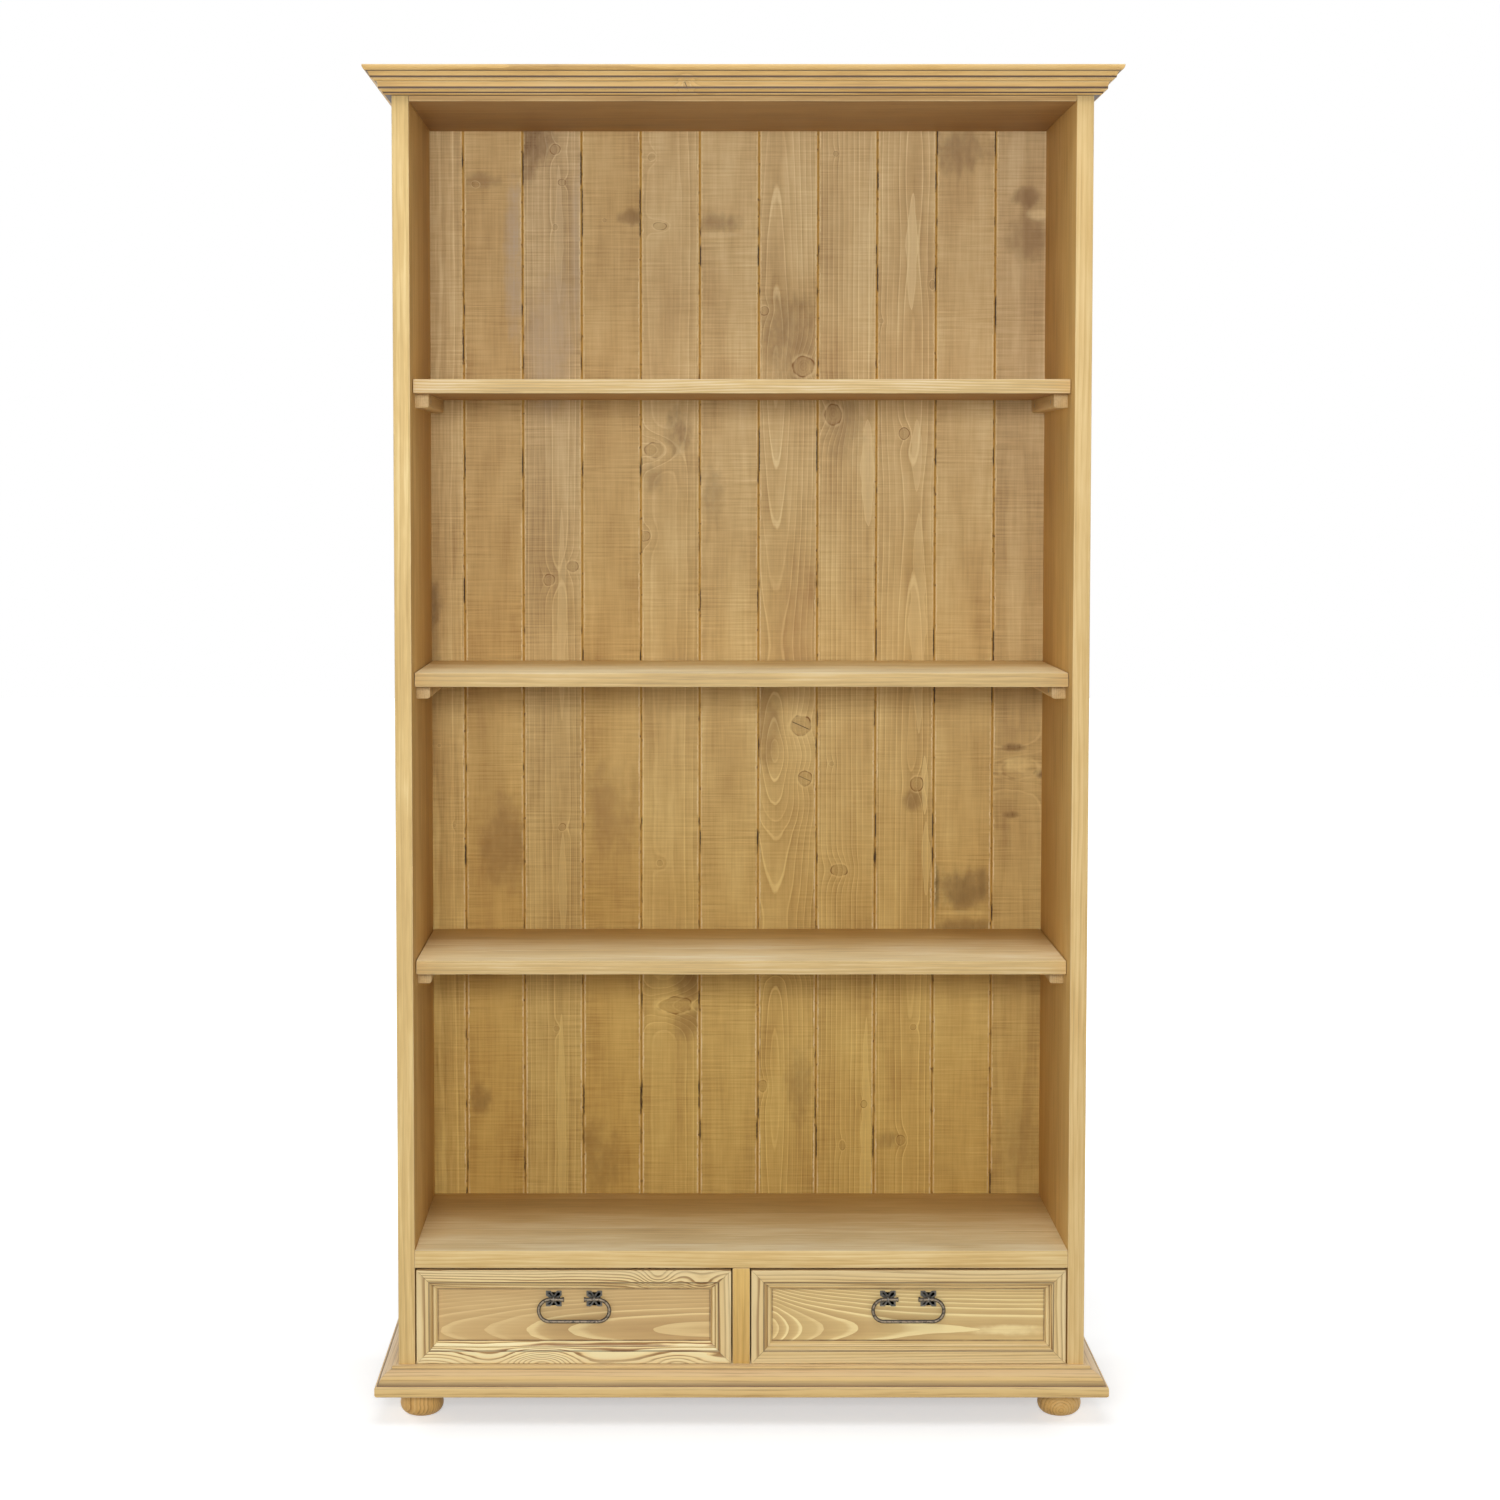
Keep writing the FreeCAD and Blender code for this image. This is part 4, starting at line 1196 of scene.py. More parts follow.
    @staticmethod
    def nick(piece: Piece, reach: float, seed: int) -> None:
        """Moves the ridge points of a piece up to reach, so that its arrises look used."""
        ridge = [item.value > Bench.RIDGE for item in piece.data.attributes[WEAR_AND_SHADE].data]
        Bench.jitter(piece, ridge, reach, 0.4, seed)

    @staticmethod
    def smooth(piece: Piece, angle: float = 32.0) -> None:
        """Shades a piece smooth but for its edges sharper than an angle in degrees."""
        Bench.pick(piece)
        bpy.ops.object.shade_smooth_by_angle(angle=math.radians(angle))

    @staticmethod
    def merge(piece: Piece) -> None:
        """Closes doubled points and turns the faces outwards.

        Args:
            piece: the piece.
        """
        with Bench.editing(piece):
            bpy.ops.mesh.remove_doubles(threshold=Bench.SAME_PLACE)
            bpy.ops.mesh.normals_make_consistent(inside=False)

    @staticmethod
    def join(pieces: list[Piece], name: str) -> Piece:
        """Joins pieces into one.

        Args:
            pieces: the pieces.
            name: the joined piece's name.

        Returns:
            The joined piece.
        """
        Bench.clear()
        for piece in pieces:
            piece.select_set(True)
        bpy.context.view_layer.objects.active = pieces[0]
        bpy.ops.object.join()
        pieces[0].name = name
        pieces[0].data.name = name
        return pieces[0]

    @staticmethod
    def copy(piece: Piece, name: str, shift: Vector) -> Piece:
        """Copies a piece with a mesh of its own.

        Args:
            piece: the piece.
            name: the copy's name.
            shift: how far and which way the copy is moved.

        Returns:
            The copy.
        """
        made = bpy.data.objects.new(name, piece.data.copy())
        made.data.name = name
        bpy.context.scene.collection.objects.link(made)
        made.data.transform(Matrix.Translation(shift))
        return made

    @staticmethod
    def seat(piece: Piece, node: str, slot: Slot, finish: bpy.types.Material) -> None:
        """Gives a piece its finish and puts it in place of its CAD node.

        Args:
            piece: the finished piece.
            node: the CAD node that it stands for, whose body it moves with.
            slot: the record's material slot; not used.
            finish: its material.
        """
        piece.data.materials.clear()
        piece.data.materials.append(finish)
        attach(piece, body_of(node))
        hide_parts(node)
        log.info("%s: %d faces", piece.name, len(piece.data.polygons))

    @staticmethod
    def wax(piece: Piece, node: str, looks: Pine, origin: Vector | None = None,
            slot: Slot = Slot.WAXED) -> None:
        """Waxes a wooden piece, whose figure is counted from origin or else its middle."""
        start = middle(node) if origin is None else origin
        Bench.seat(piece, node, slot, looks.material(f"{node}_wax", start))


@dataclass(frozen=True)
class Turn:
    """One point of a moulding's outline, as shares of its reach and height.

    A mark above 0 pales a ridge, with rubbing and painted highlight, and one below 0 paints shade
    into a quirk. A point with a bulge ends a round stretch that passes through the bulge.
    """

    out: float
    up: float
    wear_and_shade: float = 0.0
    bulge: tuple[float, float] | None = None


def round_stretch(start: Vector, through: Vector, end: Vector, steps: int) -> list[Vector]:
    """Follows the circle through three points.

    Args:
        start: the first point, which isn't given back.
        through: a point on the way.
        end: the last point.
        steps: how many straight runs lead there.

    Returns:
        The ends of the straight runs.
    """
    chord_a = through - start
    chord_b = end - start
    cross = 2 * (chord_a.x * chord_b.y - chord_a.y * chord_b.x)
    square_a = chord_a.length_squared
    square_b = chord_b.length_squared
    centre = start + Vector((chord_b.y * square_a - chord_a.y * square_b,
                             chord_a.x * square_b - chord_b.x * square_a)) / cross
    first, between, last = (math.atan2(point.y - centre.y, point.x - centre.x)
                            for point in (start, through, end))
    sweep = (last - first) % math.tau
    if (between - first) % math.tau > sweep:
        sweep -= math.tau
    radius = (start - centre).length
    angles = (first + sweep * step / steps for step in range(1, steps + 1))
    return [centre + radius * Vector((math.cos(angle), math.sin(angle))) for angle in angles]


class Outline:
    """A moulding's section in metres, with the mark of each of its points: pale ridges and painted
    shade in its quirks.
    """

    SHADE_SPREAD = 0.6

    def __init__(self, turns: tuple[Turn, ...], reach: float, height: float,
                 steps: int = 6) -> None:
        """Works the points out.

        Args:
            turns: the outline's points as shares.
            reach: how far the section stands out.
            height: how tall it is.
            steps: how many straight runs make a round stretch.
        """
        self.points: list[Vector] = []
        self.wear_and_shade: list[float] = []
        for turn in turns:
            spot = Vector((turn.out * reach, turn.up * height))
            if turn.bulge:
                bulge = Vector((turn.bulge[0] * reach, turn.bulge[1] * height))
                self.points += round_stretch(self.points[-1], bulge, spot, steps)
                # The painted shade of a quirk spreads onto the first point of the round stretch
                # after it.
                spread_shade = min(0.0, self.wear_and_shade[-1]) * self.SHADE_SPREAD
                self.wear_and_shade += [spread_shade] + [0.0] * (steps - 2) + [turn.wear_and_shade]
            else:
                self.points.append(spot)
                self.wear_and_shade.append(turn.wear_and_shade)

    def drawn(self, start: Vector, out: Vector, up: Vector) -> list[Vector]:
        """Returns the outline's points from a start, with its own way out and way up."""
        return [start + out * point.x + up * point.y for point in self.points]

    def mark(self, piece: Piece, start: Vector, out: Vector, up: Vector) -> None:
        """Writes the outline's marks, pale ridges and painted shade, on a piece drawn out from it.

        Args:
            piece: the piece.
            start: where the outline starts.
            out: its way out.
            up: its way up.
        """
        values = []
        for vertex in piece.data.vertices:
            gap = vertex.co - start
            spot = Vector((gap.dot(out), gap.dot(up)))
            gaps = [(point - spot).length_squared for point in self.points]
            values.append(self.wear_and_shade[gaps.index(min(gaps))])
        Bench.write_wear_and_shade(piece, values)


# The case

UPRIGHT_SIDE = Pine(grain=Grain.UPRIGHT_DEEP, stave=0.093, ring_gap=0.0065, ring_contrast=0.42,
                    pale=Tone(228, 190, 116), base=Tone(206, 160, 82), dark=Tone(160, 114, 50),
                    edge=Tone(225, 190, 121), roughness=0.58, gloss=0.3)
# The top tones paint light on the upper faces, palest at the front.
LEVEL = Pine(grain=Grain.LEVEL, stave=0.093, ring_contrast=0.4, pale=Tone(190, 146, 84),
             base=Tone(164, 114, 52), dark=Tone(128, 86, 38), edge=Tone(218, 180, 111),
             top=(Tone(252, 230, 178), Tone(212, 176, 110)), relief=0.0001, roughness=0.55,
             gloss=0.2)


@dataclass
class Boards:
    """The plain boards of the case: sides, levels, divider and shelves."""

    arris: float = 0.0015
    nick: float = 0.0003
    cut_step: float = 0.045
    rebate_width: float = 0.010
    rebate_depth: float = 0.015

    def build(self) -> None:
        """Models and dresses every plain board."""
        self.side("left_side", 1.0, replace(UPRIGHT_SIDE, seed=3.0, base=Tone(191, 146, 74)))
        self.side("right_side", -1.0, replace(UPRIGHT_SIDE, seed=8.0, base=Tone(204, 159, 82),
                                               edge=Tone(216, 178, 110)))
        self.plank("top_panel", replace(
            LEVEL, seed=11.0, pale=Tone(165, 120, 59), base=Tone(145, 96, 39),
            dark=Tone(109, 70, 27), edge=Tone(194, 147, 86)))
        # The deck's top tones paint light on its upper face, palest at the front.
        self.plank("deck_panel", replace(LEVEL, seed=17.0,
                                         top=(Tone(226, 202, 152), Tone(206, 170, 106))))
        self.plank("bottom_panel", replace(LEVEL, seed=23.0))
        self.plank("crown_board", replace(LEVEL, seed=31.0))
        shelf = replace(LEVEL, ring_gap=0.006, pale=Tone(176, 132, 68), base=Tone(154, 104, 40),
                        dark=Tone(118, 76, 28), edge=Tone(212, 178, 117))
        self.plank("shelf_lower", replace(shelf, seed=37.0))
        # The middle shelf's top tones paint light on its upper face, palest at the front.
        self.plank("shelf_middle", replace(shelf, seed=42.0,
                                           top=(Tone(255, 238, 192), Tone(232, 202, 136))))
        self.plank("shelf_upper", replace(shelf, seed=47.0, base=Tone(150, 98, 34),
                                          ring_contrast=0.7, ring_gap=0.004,
                                          eddies=(Eddy(0.09, -0.16, 0.04, 0.05, 0.024),)))
        self.plank("drawer_divider", replace(UPRIGHT_SIDE, seed=53.0, edge=Tone(222, 178, 91)))

    def plank(self, node: str, looks: Pine) -> None:
        """Models a squared board."""
        self.finish(Bench.block(f"{node}_pine", *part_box(node)), node, looks)

    def side(self, node: str, inwards: float, looks: Pine) -> None:
        """Models a side with the rebate that the back boards stand in.

        Args:
            node: the side's CAD node.
            inwards: 1 if the inside lies to the right, -1 if it lies to the left.
            looks: its wood.
        """
        low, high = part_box(node)
        outer = low.x if inwards > 0 else high.x
        inner = high.x if inwards > 0 else low.x
        ledge = inner - self.rebate_width * inwards
        shoulder = high.y - self.rebate_depth
        plan = [(outer, low.y), (inner, low.y), (inner, shoulder), (ledge, shoulder),
                (ledge, high.y), (outer, high.y)]
        outline = [Vector((x, y, low.z)) for x, y in plan]
        self.finish(Bench.bar(f"{node}_pine", outline, UP * (high.z - low.z)), node, looks)

    def finish(self, piece: Piece, node: str, looks: Pine) -> None:
        """Softens and nicks the arrises, marks pale ridges and painted shade in hollows, and waxes
        the board.

        Args:
            piece: the squared board.
            node: its CAD node.
            looks: its wood.
        """
        Bench.soften(piece, self.arris)
        Bench.cuts(piece, looks.grain.value[0], self.cut_step)
        Bench.mark_wear_and_shade(piece)
        Bench.nick(piece, self.nick, int(looks.seed))
        Bench.smooth(piece)
        Bench.wax(piece, node, looks)


# The back

GOLDEN = (Tone(244, 223, 173), Tone(214, 185, 133), Tone(168, 131, 83))
AMBER = (Tone(237, 210, 155), Tone(209, 177, 121), Tone(163, 123, 71))
DUSKY = (Tone(237, 216, 170), Tone(207, 179, 132), Tone(157, 124, 84))


def sawn(tones: tuple[Tone, Tone, Tone], **values: object) -> Pine:
    """Chooses a rough-sawn upright pine.

    Args:
        tones: its pale, base and dark tones.
        values: what sets this board apart.

    Returns:
        The board's looks.
    """
    looks = dict(grain=Grain.UPRIGHT, pale=tones[0], base=tones[1], dark=tones[2],
                 rings=Rings.SAWN, ring_gap=0.0085, ring_contrast=0.4, saw=0.4, fibre=0.22,
                 patches=0.45, wander=0.004, wobble=0.001, roughness=0.62, gloss=0.3,
                 relief=0.0003, warmth=Tone(251, 240, 186))
    looks.update(values)
    return Pine(**looks)


BACK_LOOKS = (
    sawn(GOLDEN, pith=(-0.02, 0.06), fibre=0.4,
         knots=(Knot(0.981, -0.011, 0.003, 0.003), Knot(0.853, 0.013, 0.003, 0.003)),
         clouds=(Cloud(1.205, -0.020, 0.03, 0.012, 0.5),
                 Cloud(1.14, -0.020, 0.08, 0.010, 0.4))),
    sawn(AMBER, pith=(0.0, 0.30), ring_contrast=0.15,
         knots=(Knot(1.869, -0.027, 0.005, 0.006, 0.5),),
         clouds=(Cloud(1.755, 0.036, 0.10, 0.014, 0.8, LIME),
                 Cloud(1.875, -0.020, 0.012, 0.025, 0.4),
                 Cloud(0.824, 0.018, 0.06, 0.03, 0.35),
                 Cloud(0.408, -0.022, 0.02, 0.014, 0.5),
                 Cloud(0.94, -0.01, 0.10, 0.03, 0.12))),
    sawn(DUSKY, pith=(0.012, 0.012), ring_gap=0.0085, fibre=0.3, ring_contrast=0.45,
         knots=(Knot(1.924, 0.005, 0.008, 0.008, 0.4), Knot(1.872, 0.016, 0.005, 0.006, 0.4),
                Knot(1.802, 0.005, 0.005, 0.004), Knot(1.245, -0.006, 0.009, 0.009, 0.5),
                Knot(1.267, 0.031, 0.009, 0.009), Knot(0.850, 0.014, 0.006, 0.006),
                Knot(0.525, 0.004, 0.005, 0.005)),
         streaks=(Streak(1.68, 1.90, 0.010, 0.007, 0.5), Streak(1.02, 1.36, 0.014, 0.008),
                  Streak(0.66, 0.842, 0.014, 0.007), Streak(0.16, 0.55, 0.012, 0.008, 0.8)),
         clouds=(Cloud(1.935, -0.030, 0.03, 0.03, 0.7),
                 Cloud(1.885, -0.036, 0.012, 0.012, 0.4),
                 Cloud(1.62, -0.004, 0.09, 0.028, 0.65, LIME),
                 Cloud(1.78, 0.042, 0.10, 0.008, 0.5, LIME))),
    sawn(AMBER, pith=(0.01, 0.25), ring_contrast=0.15,
         knots=(Knot(1.813, -0.011, 0.003, 0.003),),
         clouds=(Cloud(1.818, 0.032, 0.010, 0.016, 0.6),
                 Cloud(0.888, 0.004, 0.06, 0.04, 0.45, DUSKY[2]),
                 Cloud(0.315, -0.026, 0.05, 0.03, 0.4))),
    sawn(GOLDEN, pith=(-0.01, 0.07), saw=0.3, ring_contrast=0.4, ring_gap=0.006,
         knots=(Knot(1.912, -0.029, 0.006, 0.006, 0.1), Knot(1.804, -0.017, 0.006, 0.010, 0.2),
                Knot(1.451, -0.025, 0.012, 0.016, 0.2, 1.4), Knot(1.315, -0.041, 0.008, 0.009),
                Knot(0.792, -0.017, 0.005, 0.005, 0.3), Knot(0.563, 0.007, 0.013, 0.028, 0.1)),
         clouds=(Cloud(1.485, 0.014, 0.03, 0.018, 0.7),
                 Cloud(1.405, -0.030, 0.02, 0.014, 0.4),
                 Cloud(0.60, 0.03, 0.02, 0.02, 0.5),
                 Cloud(0.535, 0.03, 0.02, 0.02, 0.4))),
    sawn(GOLDEN, pith=(0.0, 0.22), ring_contrast=0.15,
         clouds=(Cloud(1.81, -0.020, 0.012, 0.03, 0.5),
                 Cloud(1.79, -0.020, 0.003, 0.03, 0.4, CREAM_AND_HIGHLIGHT),
                 Cloud(1.384, -0.027, 0.035, 0.016, 0.4))),
    sawn(GOLDEN, pith=(-0.019, 0.0), ring_gap=0.0074, ring_contrast=0.55, saw=0.3, wander=0.002,
         wobble=0.0012,
         dive=((0.0, 0.03), (0.30, 0.010), (0.435, 0.004), (0.51, 0.0074), (0.59, 0.0148),
               (0.62, 0.030), (0.66, 0.047), (0.70, 0.049), (0.75, 0.0452), (0.837, 0.037),
               (0.863, 0.0296), (0.892, 0.0222), (0.93, 0.0148), (0.957, 0.0074),
               (0.974, 0.004), (0.994, 0.0074), (1.03, 0.0148), (1.07, 0.024), (1.13, 0.036),
               (1.243, 0.0296), (1.341, 0.0222), (1.438, 0.0148), (1.528, 0.0074),
               (1.57, 0.003), (1.65, 0.012), (1.80, 0.02), (2.0, 0.03)),
         knots=(Knot(1.671, -0.038, 0.007, 0.007, 0.6), Knot(1.583, 0.024, 0.016, 0.017, 0.5),
                Knot(1.013, 0.021, 0.0165, 0.0165, 0.6, 0.8, 0.9),
                Knot(0.928, 0.028, 0.012, 0.011, 0.5, 0.8, 0.6),
                Knot(0.432, -0.039, 0.010, 0.008, 0.6)),
         clouds=(Cloud(1.62, 0.0, 0.07, 0.035, 0.5),
                 Cloud(1.02, -0.03, 0.06, 0.02, 0.4),
                 Cloud(0.44, 0.02, 0.05, 0.02, 0.4),
                 Cloud(1.13, 0.025, 0.10, 0.03, 0.3, Tone(160, 108, 72)))),
    sawn(GOLDEN, pith=(0.034, 0.002), ring_gap=0.008, ring_contrast=0.6, saw=0.3,
         knots=(Knot(1.917, -0.019, 0.004, 0.004), Knot(1.507, -0.022, 0.016, 0.014, 0.5, 1.3),
                Knot(0.781, -0.010, 0.010, 0.013, 0.4), Knot(0.952, -0.023, 0.004, 0.004, 0.4),
                Knot(0.403, 0.031, 0.006, 0.005), Knot(0.336, -0.004, 0.008, 0.005)),
         streaks=(Streak(1.33, 1.50, 0.034, 0.012, 0.7), Streak(0.05, 0.545, 0.034, 0.009, 0.8),
                  Streak(1.60, 1.95, 0.037, 0.005)),
         clouds=(Cloud(1.50, 0.0, 0.05, 0.03, 0.4),)),
    sawn(GOLDEN, pith=(0.012, 0.0), ring_gap=0.0085, ring_contrast=0.55, saw=0.25, wander=0.003,
         dive=((0.0, 0.01), (0.4, 0.012), (0.8, 0.004), (1.15, 0.012), (1.37, 0.022),
               (1.5, 0.012), (1.65, 0.010), (1.765, 0.016), (1.9, 0.012), (2.0, 0.02)),
         knots=(Knot(1.655, -0.040, 0.004, 0.004), Knot(1.712, 0.041, 0.008, 0.004, 0.6),
                Knot(1.477, -0.003, 0.009, 0.008, 0.6), Knot(0.920, 0.020, 0.012, 0.010, 0.6),
                Knot(0.528, 0.016, 0.005, 0.005), Knot(0.344, -0.003, 0.008, 0.008, 0.4)),
         streaks=(Streak(1.672, 1.856, 0.008, 0.010, 0.8), Streak(1.385, 1.50, 0.018, 0.010),
                  Streak(1.00, 1.352, 0.020, 0.014, 0.6), Streak(0.87, 0.965, 0.032, 0.006, 0.9),
                  Streak(0.74, 0.86, 0.034, 0.008, 0.7)),
         clouds=(Cloud(0.893, 0.012, 0.012, 0.014, 0.5),
                 Cloud(0.344, -0.02, 0.012, 0.02, 0.4))),
    sawn(GOLDEN, pith=(0.0, 0.30), ring_contrast=0.12, saw=0.35,
         clouds=(Cloud(1.925, -0.012, 0.03, 0.04, 0.5),
                 Cloud(0.752, -0.006, 0.026, 0.042, 0.55, Tone(104, 80, 58)),
                 Cloud(0.748, -0.043, 0.035, 0.005, 0.6, SOOT_AND_SHADE),
                 Cloud(0.712, 0.0, 0.003, 0.04, 0.5, CREAM_AND_HIGHLIGHT),
                 Cloud(0.690, 0.008, 0.010, 0.04, 0.5))),
    sawn(DUSKY, pith=(-0.01, 0.12), ring_contrast=0.25,
         knots=(Knot(0.944, 0.0, 0.015, 0.028, -0.9),),
         clouds=(Cloud(1.850, 0.004, 0.012, 0.02, 0.55),
                 Cloud(1.784, 0.004, 0.03, 0.028, 0.4),
                 Cloud(1.822, 0.026, 0.007, 0.014, 0.7, CREAM_AND_HIGHLIGHT),
                 Cloud(0.978, -0.010, 0.005, 0.015, 0.8),
                 Cloud(0.950, -0.002, 0.009, 0.018, 0.9, CREAM_AND_HIGHLIGHT),
                 Cloud(0.936, 0.034, 0.006, 0.010, 0.8),
                 Cloud(0.870, -0.012, 0.004, 0.010, 0.6),
                 Cloud(0.340, 0.0, 0.05, 0.03, 0.3))),
)


@dataclass
class BackBoards:
    """The eleven upright tongued boards of the back, each with looks of its own."""

    tongue: float = 0.006
    tongue_half: float = 0.0025
    groove_half: float = 0.0028
    chamfer: float = 0.0008
    nick: float = 0.0005
    cut_step: float = 0.03
    seed_step: float = 2.3
    looks: tuple[Pine, ...] = BACK_LOOKS

    def build(self) -> None:
        """Models and dresses the boards from left to right."""
        for index, looks in enumerate(self.looks):
            self.board(index, looks)

    def board(self, index: int, looks: Pine) -> None:
        """Models one board: chamfered arrises, a tongue on its right and a groove on its left.

        Args:
            index: its number from the left, from 0.
            looks: its wood.
        """
        node = f"back_board_{index + 1:02d}"
        low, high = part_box(node)
        first = index == 0
        last = index == len(self.looks) - 1
        right = high.x if last else high.x - self.tongue
        mid = (low.y + high.y) / 2
        edge = self.chamfer
        plan = [(low.x, low.y)] if first else [(low.x, low.y + edge), (low.x + edge, low.y)]
        if last:
            plan += [(right, low.y), (right, high.y)]
        else:
            plan += [(right - edge, low.y), (right, low.y + edge),
                     (right, mid - self.tongue_half), (high.x, mid - self.tongue_half),
                     (high.x, mid + self.tongue_half), (right, mid + self.tongue_half),
                     (right, high.y)]
        plan += [(low.x, high.y)]
        if not first:
            plan += [(low.x, mid + self.groove_half),
                     (low.x + self.tongue, mid + self.groove_half),
                     (low.x + self.tongue, mid - self.groove_half),
                     (low.x, mid - self.groove_half)]
        outline = [Vector((x, y, low.z)) for x, y in plan]
        piece = Bench.bar(f"{node}_pine", outline, UP * (high.z - low.z))
        Bench.cuts(piece, 2, self.cut_step)
        self.rough_edges(piece, low, right, index)
        Bench.smooth(piece)
        centre = Vector(((low.x + right) / 2, low.y, 0.0))
        seed = looks.seed + index * self.seed_step
        Bench.wax(piece, node, replace(looks, half_width=(right - low.x) / 2, seed=seed), centre,
                  Slot.ROUGH_SAWN)

    def rough_edges(self, piece: Piece, low: Vector, right: float, seed: int) -> None:
        """Roughens the two front arrises.

        Args:
            piece: the board.
            low: its lowest corner.
            right: where its face ends on the right.
            seed: the seed of the chance moves.
        """
        near = self.chamfer * 1.5
        chosen = []
        for vertex in piece.data.vertices:
            at_front = vertex.co.y < low.y + near / 10
            at_edge = vertex.co.x < low.x + near or vertex.co.x > right - near
            chosen.append(at_front and at_edge)
        Bench.jitter(piece, chosen, self.nick, 0.0, seed)


# Cleats, mouldings and feet

@dataclass
class Cleats:
    """The pairs of cleats that carry the shelves."""

    width: float = 0.0205
    rounding: float = 0.004
    arris: float = 0.0008

    def build(self) -> None:
        """Models and dresses the three pairs."""
        for seed, shelf in enumerate(("lower", "middle", "upper")):
            node = f"{shelf}_shelf_cleats"
            low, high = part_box(node)
            pair = [self.cleat(low, high, side, f"{shelf}_cleat_{index}")
                    for index, side in enumerate((1.0, -1.0))]
            piece = Bench.join(pair, f"{node}_pine")
            Bench.soften(piece, self.arris)
            Bench.mark_wear_and_shade(piece)
            Bench.smooth(piece)
            Bench.wax(piece, node, Pine(grain=Grain.INWARDS, seed=61.0 + seed, ring_gap=0.003,
                                        pith=(0.0, 0.01)))

    def cleat(self, low: Vector, high: Vector, side: float, name: str) -> Piece:
        """Models one cleat, whose lower inner edge is rounded.

        Args:
            low: the lowest corner of the pair.
            high: its highest corner.
            side: 1 for the left cleat, -1 for the right one.
            name: the cleat's name.

        Returns:
            The cleat.
        """
        wall = low.x if side > 0 else high.x
        start = Vector((self.width - self.rounding, 0.0))
        end = Vector((self.width, self.rounding))
        half = self.rounding * (1 - math.sqrt(0.5))
        through = Vector((self.width - half, half))
        flat = [Vector((0.0, 0.0)), start, *round_stretch(start, through, end, 5),
                Vector((self.width, high.z - low.z)), Vector((0.0, high.z - low.z))]
        outline = [Vector((wall + spot.x * side, low.y, low.z + spot.y)) for spot in flat]
        return Bench.bar(name, outline, BACK * (high.y - low.y))


# Marks below 0 paint shade into the quirks; marks above 0 pale the ridges, with rubbing and painted
# highlight.
CORNICE_TURNS = (
    Turn(0.0, 0.0, -1.0),
    Turn(0.20, 0.0, -1.0),
    Turn(0.28, 0.045, 0.0, (0.247, 0.012)),
    Turn(0.282, 0.058, -1.4),
    Turn(0.408, 0.170, 0.3, (0.315, 0.130)),
    Turn(0.440, 0.178, 0.9),
    Turn(0.446, 0.188, 0.3),
    Turn(0.446, 0.206, -1.4),
    Turn(0.50, 0.445, 0.4, (0.459, 0.33)),
    Turn(0.503, 0.455, 0.8),
    Turn(0.52, 0.457, -1.4),
    Turn(0.62, 0.525, 0.4, (0.588, 0.475)),
    Turn(0.712, 0.558, 0.8),
    Turn(0.72, 0.567, -1.4),
    Turn(0.808, 0.775, 0.4, (0.750, 0.670)),
    Turn(0.818, 0.788, -1.8),
    Turn(0.872, 0.788, -0.5),
    Turn(0.884, 0.796, -0.2),
    Turn(1.0, 0.965, 0.3, (0.965, 0.865)),
    Turn(1.0, 0.985, 0.9),
    Turn(0.988, 1.0, 0.9),
    Turn(0.96, 1.0, 0.0),
    Turn(0.0, 1.0),
)

# Marks below 0 paint shade into the quirks; marks above 0 pale the ridges, with rubbing and painted
# highlight.
BASE_TURNS = (
    Turn(0.0, 0.0),
    Turn(0.88, 0.0),
    Turn(1.0, 0.12, 0.0, (0.965, 0.035)),
    Turn(1.0, 0.325, 0.2),
    Turn(0.992, 0.355, 0.9),
    Turn(0.93, 0.396, 0.0, (0.973, 0.385)),
    Turn(0.868, 0.398, -0.6),
    Turn(0.856, 0.412, -0.4),
    Turn(0.352, 0.872, 0.0, (0.655, 0.71)),
    Turn(0.285, 0.893, -0.4),
    Turn(0.272, 0.905, -0.2),
    Turn(0.27, 0.94, 0.5),
    Turn(0.21, 1.0, 0.6, (0.255, 0.985)),
    Turn(0.0, 1.0),
)


